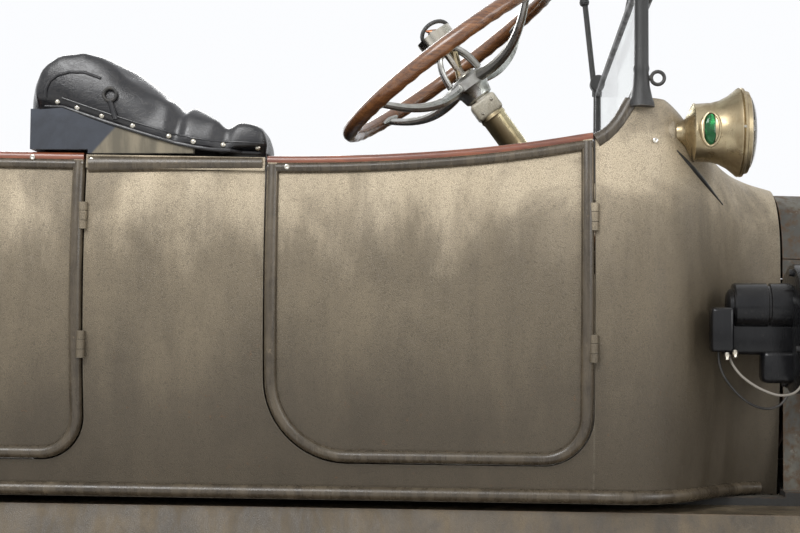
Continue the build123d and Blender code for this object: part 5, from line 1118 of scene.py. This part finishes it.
def column_levers():
    """The frame, block, sleeve, bow, stem, blade and shaft of the spark and gas levers."""
    for sign, label in ((-1, "right"), (1, "left")):
        arch = [
            column_point(0.040 - 0.062 * sin(pi * t), 0.031 * cos(pi * t), 0.016 * sign) for t in parts(24)
        ]
        tube(f"lever_frame_{label}", arch, 0.0052, ALLOY, slot="brass")
    lever_block = block((-0.025, -0.023, -0.017), (0.025, 0.023, 0.017), 0.006)
    set_on_column(lever_block, BLOCK_DEPTH, 1)
    done(lever_block, "lever_block", CREAM)
    for index, (across, depth) in enumerate(((-0.014, 0.100), (0.013, 0.112))):
        screw_head(f"block_screw_{index + 1}", column_point(depth, across, -0.0235), radius=0.0028)
    sleeve = ((0, 0.0235), (0.006, 0.0245), (0.010, 0.0225), (0.300, 0.0222), (0.304, 0.0215))
    turned("column_sleeve", COLUMN_TOP + DOWN * SLEEVE_DEPTH, DOWN, sleeve, COLUMN_METAL, slot="brass")
    bow = [column_point(-0.058 - 0.018 * sin(a), 0.026 * cos(a) - 0.006, 0.01) for a in circle(28)]
    tube("lever_bow", bow, 0.0038, IRON, slot="black_iron", closed=True)
    stem = [column_point(-0.042 * t / 5, -0.016 + 0.001 * t) for t in range(6)]
    tube("lever_stem", stem, 0.0045, IRON, slot="black_iron")
    blade = [column_point(-0.046 - 0.006 * t, -0.018 + 0.006 * t, 0.008) for t in range(5)]
    tube("lever_blade", blade, 0.0055, COPPER, slot="brass", widths=(0.5, 1.0, 1.2, 0.8, 0.3))
    shaft = [column_point(0.044 - 0.014 * t, 0.010 - 0.006 * t) for t in range(5)]
    tube("lever_shaft", shaft, 0.0070, BRASS, slot="brass")



# Wheel spokes

SPOKES = 12
SPOKE_START, SPOKE_END = 0.058, 0.296
SPOKE_WIDE, SPOKE_NARROW, SPOKE_THICK = 0.038, 0.027, 0.032
SPOKE_THINNING, SPOKE_EDGE = 0.85, 0.009


def spokes(name, x, y, finish, body):
    """The eleven spokes that the CAD wheel lacks, tapered and rounded, in one piece."""
    middle = (SPOKE_START + SPOKE_END) / 2
    alone()
    bpy.ops.mesh.primitive_cube_add(size=1, location=(middle, 0, 0))
    first = bpy.context.object
    first.scale = (SPOKE_END - SPOKE_START, SPOKE_THICK, SPOKE_WIDE)
    bpy.ops.object.transform_apply(location=True, rotation=False, scale=True)
    pick(first, lambda face: face.normal.x > 0.9)
    bpy.ops.transform.resize(
        value=(1, SPOKE_THINNING, SPOKE_NARROW / SPOKE_WIDE), center_override=(SPOKE_END, 0, 0)
    )
    bpy.ops.mesh.select_all(action="SELECT")
    bpy.ops.mesh.bevel(offset=SPOKE_EDGE, segments=3, affect="EDGES")
    bpy.ops.object.mode_set(mode="OBJECT")
    spread = []
    for angle in circle(SPOKES)[1:]:
        part = own_copy(first)
        part.data.transform(Matrix.Translation((x, y, AXLE_Z)) @ Matrix.Rotation(angle, 4, "Y"))
        spread.append(part)
    bpy.data.objects.remove(first)
    alone(spread[0])
    for part in spread:
        part.select_set(True)
    bpy.ops.object.join()
    return done(bpy.context.object, name, finish, body, 40)


def wheel_spokes():
    """Spokes of all four wheels."""
    for end, x, finish in (("front", FRONT_AXLE_X, FRONT_WHEEL), ("rear", REAR_AXLE_X, REAR_WHEEL)):
        for side, y in (("right", -WHEEL_Y), ("left", WHEEL_Y)):
            spokes(f"spokes_{end}_{side}", x, y, finish, f"{end}_{side}_wheel")


# Windshield

POST_X, POST_Y = 0.386, -0.574
SPLIT_Z = 1.500
UPPER_FOOT, UPPER_HEAD = (0.420, 1.500), (0.4963, 1.8927)


def pane_loop(foot, head):
    """A pane's edge between two X and Z points, with rounded corners."""
    half, corner, ends = 0.544, 0.012, 0.008
    run = Vector((head[0] - foot[0], 0, head[1] - foot[1]))
    tall = run.length
    up = run.normalized()
    out = []
    for cy, cz, start in (
        (half, ends, -pi / 2), (half, tall - ends, 0), (-half, tall - ends, pi / 2), (-half, ends, pi)
    ):
        sign_y = 1 if cy > 0 else -1
        sign_z = 1 if cz < tall / 2 else -1
        for t in parts(4):
            a = start + (pi / 2) * t
            y = cy - sign_y * corner + corner * cos(a)
            z = cz + sign_z * corner + corner * sin(a)
            out.append(Vector((foot[0], y, foot[1])) + up * z)
    return out


POST_PROFILE = (
    (0, 0.0215), (0.006, 0.0210), (0.016, 0.0175), (0.034, 0.0138), (0.056, 0.0120), (0.062, 0.0132),
    (0.068, 0.0120), (0.200, 0.0114), (0.214, 0.0114), (0.220, 0.0135), (0.250, 0.0135), (0.256, 0.0090),
)
NUT_PROFILE = ((0, 0.0095), (0.0045, 0.0095), (0.0055, 0.0085), (0.0075, 0.0045))
KNOB_PROFILE = ((0, 0.0075), (0.003, 0.0105), (0.009, 0.0120), (0.015, 0.0105), (0.019, 0.0060))


def stay(name, x, lean, rise, y, radius):
    """A straight stay from the pivots up."""
    points = [(x + lean * t, y, SPLIT_Z + rise * t) for t in parts(8)]
    return tube(name, points, radius, IRON)


def windshield():
    """Round posts with eye rings, folding pivots and their stays, and tube frames round both panes."""
    post = turned(
        "windshield_post", (POST_X, POST_Y, 1.2700), (0, 0, 1), POST_PROFILE, IRON, slot="black_iron"
    )
    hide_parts("windshield_frame")
    eye_x, eye_z, eye_radius, bracket_z = 0.4125, 1.3170, 0.0105, 1.358
    ring = [(eye_x + eye_radius * cos(a), POST_Y, eye_z + eye_radius * sin(a)) for a in circle(24)]
    shank = [(x, POST_Y, eye_z) for x in (0.392, 0.397, 0.4025)]
    bracket = [(POST_X, POST_Y + inward, bracket_z) for inward in (0.0, 0.014, 0.028)]
    plate = ((0.372, POST_Y - 0.013, 1.476), (0.438, POST_Y - 0.005, 1.522))
    bridge = ((0.384, POST_Y - 0.006, 1.488), (0.424, POST_Y + 0.006, 1.512))
    pieces = [
        post,
        tube("post_eye", ring, 0.0030, IRON, closed=True),
        tube("post_eye_shank", shank, 0.0045, IRON),
        slab("pivot_plate", *plate, 0.003, IRON),
        slab("pivot_bridge", *bridge, 0.004, IRON),
        tube("pane_bracket", bracket, 0.008, IRON),
        stay("stay_rear", 0.376, -0.022, 0.200, POST_Y, 0.0068),
        stay("stay_front", 0.424, 0.034, 0.206, POST_Y + 0.004, 0.0050),
    ]
    for name, x, z, radius in (("rear", POST_X, SPLIT_Z + 0.006, 0.0200), ("front", 0.420, SPLIT_Z, 0.0180)):
        disc = ((0, radius * 0.9), (0.002, radius), (0.030, radius), (0.032, radius * 0.9))
        pieces += [
            turned(f"pivot_disc_{name}", (x, POST_Y - 0.016, z), (0, 1, 0), disc, IRON),
            turned(f"pivot_nut_{name}", (x, POST_Y - 0.0155, z), (0, -1, 0), NUT_PROFILE, BRIGHT, sides=6),
        ]
    pieces.append(turned("stay_knob", (0.3535, POST_Y, 1.694), (-0.11, 0, 1), KNOB_PROFILE, IRON))
    twins(*pieces)
    for name, foot, head in (
        ("lower", (POST_X, 1.302), (POST_X, 1.486)), ("upper", UPPER_FOOT, UPPER_HEAD)
    ):
        loop = pane_loop(foot, head)
        tube(f"{name}_pane_frame", loop, 0.0088, IRON, slot="black_iron", closed=True)


def cowl_crease_shadow():
    """A dark tapered strip down the cowl's front slope: painted shadow of the shaded crease between the ear
    and the cowl's top.
    """
    faces = surface("cowl")
    points, widths = [], []
    for t in parts(14):
        hit = from_right(faces, 0.4446 + 0.088 * t, 1.2021 - 0.0784 * t)
        if hit:
            points.append(hit + Vector((0, 0.0005, 0)))
            widths.append(0.35 + 0.65 * sin(pi * min(1.0, t * 1.1)))
    # Painted shadow: a dark iron-coloured tube laid where the crease between the ear and the cowl's top lies
    # in shade
    twins(tube("cowl_crease_shadow", points, 0.0042, IRON, widths=widths))



# Lamps and horn

LAMP_LINE = (
    # distance along the lamp, radius
    (0.4440, 0.0155), (0.4520, 0.0180), (0.4595, 0.0230), (0.4660, 0.0360), (0.4710, 0.0465),
    (0.4730, 0.0480), (0.4760, 0.0470), (0.5000, 0.0485), (0.5140, 0.0520), (0.5270, 0.0590),
    (0.5370, 0.0670), (0.5415, 0.0710), (0.5440, 0.0725), (0.5455, 0.0700), (0.5475, 0.0725),
    (0.5510, 0.0720), (0.5530, 0.0680), (0.5590, 0.0665), (0.5610, 0.0620),
)
LAMP_Y, LAMP_Z = -0.540, 1.2330


def along_x(name, x, y, z, profile, finish, slot, sides):
    """A round piece on a line along the car."""
    return turned(name, (x, y, z), (1, 0, 0), profile, finish, slot=slot, sides=sides)


BOSS_PROFILE = ((0, 0.0215), (0.036, 0.0215), (0.041, 0.0205), (0.0445, 0.0165))
LENS_PROFILE = (
    (0, 0.0600), (0.004, 0.0580), (0.008, 0.0500), (0.0105, 0.0380), (0.0120, 0.0200), (0.0125, 0.0040)
)


def cowl_lamp():
    """The flared brass lamp with its green side jewel and bulging front glass."""
    first_x = LAMP_LINE[0][0]
    profile = [(x - first_x, radius) for x, radius in LAMP_LINE]
    shell = along_x("cowl_lamp_shell", first_x, LAMP_Y, LAMP_Z, profile, BRASS, "brass", 64)
    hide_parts("cowl_lamps")
    boss = along_x("cowl_lamp_boss", 0.400, LAMP_Y, LAMP_Z, BOSS_PROFILE, BODY, "body_paint", 48)
    front = along_x("cowl_lamp_glass", 0.5595, LAMP_Y, LAMP_Z, LENS_PROFILE, LENS, "glass", 48)
    jewel_x, half_wide, half_tall, barrel = 0.4955, 0.0150, 0.0270, 0.0500
    rim = []
    for a in circle(36):
        up = half_tall * sin(a)
        rim.append((jewel_x + half_wide * cos(a), LAMP_Y - sqrt(barrel ** 2 - up ** 2), LAMP_Z + up))
    jewel_rim = tube("cowl_lamp_jewel_rim", rim, 0.0026, BRASS, slot="brass", closed=True)
    alone()
    bpy.ops.mesh.primitive_uv_sphere_add(segments=32, ring_count=16, radius=1, location=(0, 0, 0))
    jewel = bpy.context.object
    pick(jewel, lambda face: abs(face.normal.y) > 0.86)
    bpy.ops.transform.resize(value=(1, 0.93, 1))
    bpy.ops.object.mode_set(mode="OBJECT")
    jewel.scale = (0.0142, 0.0120, 0.0262)
    jewel.location = (jewel_x, LAMP_Y - 0.0395, LAMP_Z)
    done(jewel, "cowl_lamp_jewel", JEWEL, angle=60)
    screw = screw_head("cowl_lamp_screw", (0.5460, LAMP_Y - 0.0722, LAMP_Z), radius=0.0022)
    twins(shell, boss, front, jewel_rim, jewel, screw)


HORN_Y, HORN_Z, MOTOR_Z = -0.505, 0.915, 0.951
HORN_ROUNDS = (
    # name, first station, height, (distance along, radius) line, sides
    ("horn_flange", 0.632, HORN_Z, (
        (0, 0.098), (0.003, 0.104), (0.007, 0.106), (0.016, 0.106), (0.0175, 0.103), (0.0190, 0.106),
        (0.030, 0.106), (0.034, 0.103), (0.037, 0.060), (0.050, 0.045),
    ), 72),
    ("horn_motor", 0.5300, MOTOR_Z, (
        (0, 0.012), (0.001, 0.022), (0.004, 0.0275), (0.0095, 0.0305), (0.0105, 0.0365), (0.0135, 0.0385),
        (0.0640, 0.0385), (0.0655, 0.0355), (0.0685, 0.0355), (0.0700, 0.0385), (0.1060, 0.0385),
    ), 64),
    ("horn_bell", 0.660, HORN_Z, (
        (0, 0.034), (0.030, 0.030), (0.100, 0.033), (0.170, 0.040), (0.220, 0.052), (0.250, 0.067),
        (0.262, 0.078), (0.268, 0.080), (0.270, 0.077), (0.262, 0.068), (0.235, 0.050), (0.200, 0.040),
        (0.150, 0.030),
    ), 64),
)
HORN_BLOCKS = (
    # name, low corner, high corner, edge
    ("horn_block", (0.500, HORN_Y - 0.055, 0.876), (0.536, HORN_Y - 0.015, 0.948), 0.006),
    ("horn_casting", (0.520, HORN_Y - 0.020, 0.872), (0.640, HORN_Y + 0.020, 0.925), 0.009),
    ("horn_casting_foot", (0.585, HORN_Y - 0.022, 0.826), (0.645, HORN_Y + 0.020, 0.880), 0.010),
    ("horn_bracket", (0.600, HORN_Y, 0.938), (0.616, -0.385, 0.962), 0.003),
)
BOLT_PROFILE = (
    (0, 0.0050), (0.0035, 0.0056), (0.005, 0.0056), (0.008, 0.0080), (0.048, 0.0080), (0.050, 0.0055),
    (0.055, 0.0050),
)
BOLT_CIRCLE = 0.096
TERMINAL_PROFILE = ((0, 0.0045), (0.004, 0.0050), (0.008, 0.0032), (0.012, 0.0030))
LEAD_LINE = (
    (0.528, -0.545, 0.8745), (0.533, -0.553, 0.858), (0.544, -0.562, 0.841), (0.560, -0.571, 0.827),
    (0.579, -0.579, 0.816), (0.601, -0.585, 0.809), (0.622, -0.589, 0.812), (0.635, -0.590, 0.825),
    (0.640, -0.5863, 0.845),
)
# Path of a dark tube that is the lead's painted shadow, not a second lead
LEAD_SHADOW_LINE = (
    (0.513, -0.540, 0.8755), (0.515, -0.539, 0.856), (0.523, -0.537, 0.836), (0.537, -0.533, 0.817),
    (0.555, -0.528, 0.800), (0.577, -0.520, 0.788), (0.600, -0.512, 0.785), (0.619, -0.507, 0.793),
    (0.633, -0.505, 0.812),
)


def horn():
    """Horn: flange with its bolts, motor housing, bell, castings, bracket, its lead, and a dark tube that
    stands for the lead's painted shadow.
    """
    for name, x, z, profile, sides in HORN_ROUNDS:
        piece = along_x(name, x, HORN_Y, z, profile, HORN, "black_iron", sides)
        if name == "horn_flange":
            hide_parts("horn")
    for name, low, high, edge in HORN_BLOCKS:
        slab(name, low, high, edge, HORN, slot="black_iron")
    for index, angle in enumerate((20, 110, 200, 290)):
        y = HORN_Y + BOLT_CIRCLE * cos(radians(angle))
        z = HORN_Z + BOLT_CIRCLE * sin(radians(angle))
        along_x(f"horn_bolt_{index + 1}", 0.626, y, z, BOLT_PROFILE, HORN, "black_iron", 12)
    tube("horn_lead", rounded(LEAD_LINE), 0.0021, LEAD)
    # Painted shadow of the lead, made as a dark iron-coloured tube
    tube("horn_lead_shadow", rounded(LEAD_SHADOW_LINE), 0.0021, IRON)
    for index, (x, z) in enumerate(((0.524, 0.874), (0.537, 0.878))):
        place = (x, HORN_Y - 0.052, z)
        turned(f"horn_terminal_{index + 1}", place, (0, -0.5, -1), TERMINAL_PROFILE, BRIGHT, sides=16)


BELT_TOPS = belt_tops()
for door, span, radii in (
    ("front_door", FRONT_DOOR, (0.136, 0.082)), ("rear_door", REAR_DOOR, (None, 0.074)),
):
    for piece in door_trim(f"{door}_right", span, radii):
        twin(piece, piece.name.replace("right", "left"), f"{door}_left")
LEFT_BODIES = {"body_screw_1": "rear_door_left", "body_screw_3": "front_door_left"}
for piece in body_trim():
    twin(piece, piece.name + "_left", LEFT_BODIES.get(piece.name, "chassis"))
seats()
steering()
column_levers()
wheel_spokes()
windshield()
cowl_crease_shadow()
cowl_lamp()
horn()


# Stage

def stage():
    """Pale floor and a plain bright surround."""
    bpy.ops.object.select_all(action="DESELECT")
    bpy.ops.mesh.primitive_plane_add(size=60, location=(0, 0, -0.001))
    floor = bpy.context.object
    floor.name = "studio_floor"
    made, shader, _ = material("studio floor", rough=0.9)
    give(shader, Base_Color=(0.80, 0.80, 0.79))
    floor.data.materials.append(made)
    world = bpy.data.worlds.new("studio")
    world.use_nodes = True
    bpy.context.scene.world = world
    tree = world.node_tree
    path = tree.nodes.new("ShaderNodeLightPath").outputs
    camera_ray, through, glossy = (
        Value(tree, path[label]) for label in ("Is Camera Ray", "Is Transmission Ray", "Is Glossy Ray")
    )
    seen = camera_ray.math("MAXIMUM", through).math("MAXIMUM", glossy)
    strength = seen.ramp(0.0, 1.0, 0.62, 1.0)
    give(tree.nodes["Background"].inputs, Color=(0.97, 0.98, 1.0), Strength=strength)


def lamp(name, place, aim, size, power):
    """A soft rectangular lamp turned to a point."""
    light = bpy.data.lights.new(name, "AREA")
    light.shape = "RECTANGLE"
    light.size, light.size_y = size
    light.energy = power
    made = bpy.data.objects.new(name, light)
    made.location = place
    made.rotation_euler = (Vector(aim) - Vector(place)).to_track_quat("-Z", "Y").to_euler()
    bpy.context.scene.collection.objects.link(made)


def camera():
    """The photograph's viewing angle: level with the door, a little up and to the rear."""
    made = bpy.data.cameras.new("photo camera")
    made.lens = 67.5
    made.sensor_width = 36.0
    shown = bpy.data.objects.new("photo camera", made)
    bpy.context.scene.collection.objects.link(shown)
    shown.location = (0.171, -3.0, 0.888)
    yaw, pitch, roll = radians(4.08), radians(2.88), radians(-0.5)
    tilt = Matrix.Rotation(pi / 2 + pitch, 4, "X") @ Matrix.Rotation(-roll, 4, "Z")
    shown.rotation_euler = (Matrix.Rotation(yaw, 4, "Z") @ tilt).to_euler()
    bpy.context.scene.camera = shown


stage()
lamp("key lamp", (-1.8, -4.5, 4.2), (0.2, -0.3, 0.9), (3.0, 2.0), 190)
lamp("fill lamp", (4.5, -3.5, 2.4), (0.2, 0.0, 0.8), (2.5, 2.5), 70)
lamp("rear lamp", (-2.0, 4.5, 3.6), (0.0, 0.0, 0.8), (3.0, 2.0), 120)
camera()
bpy.context.scene.view_settings.view_transform = "Standard"
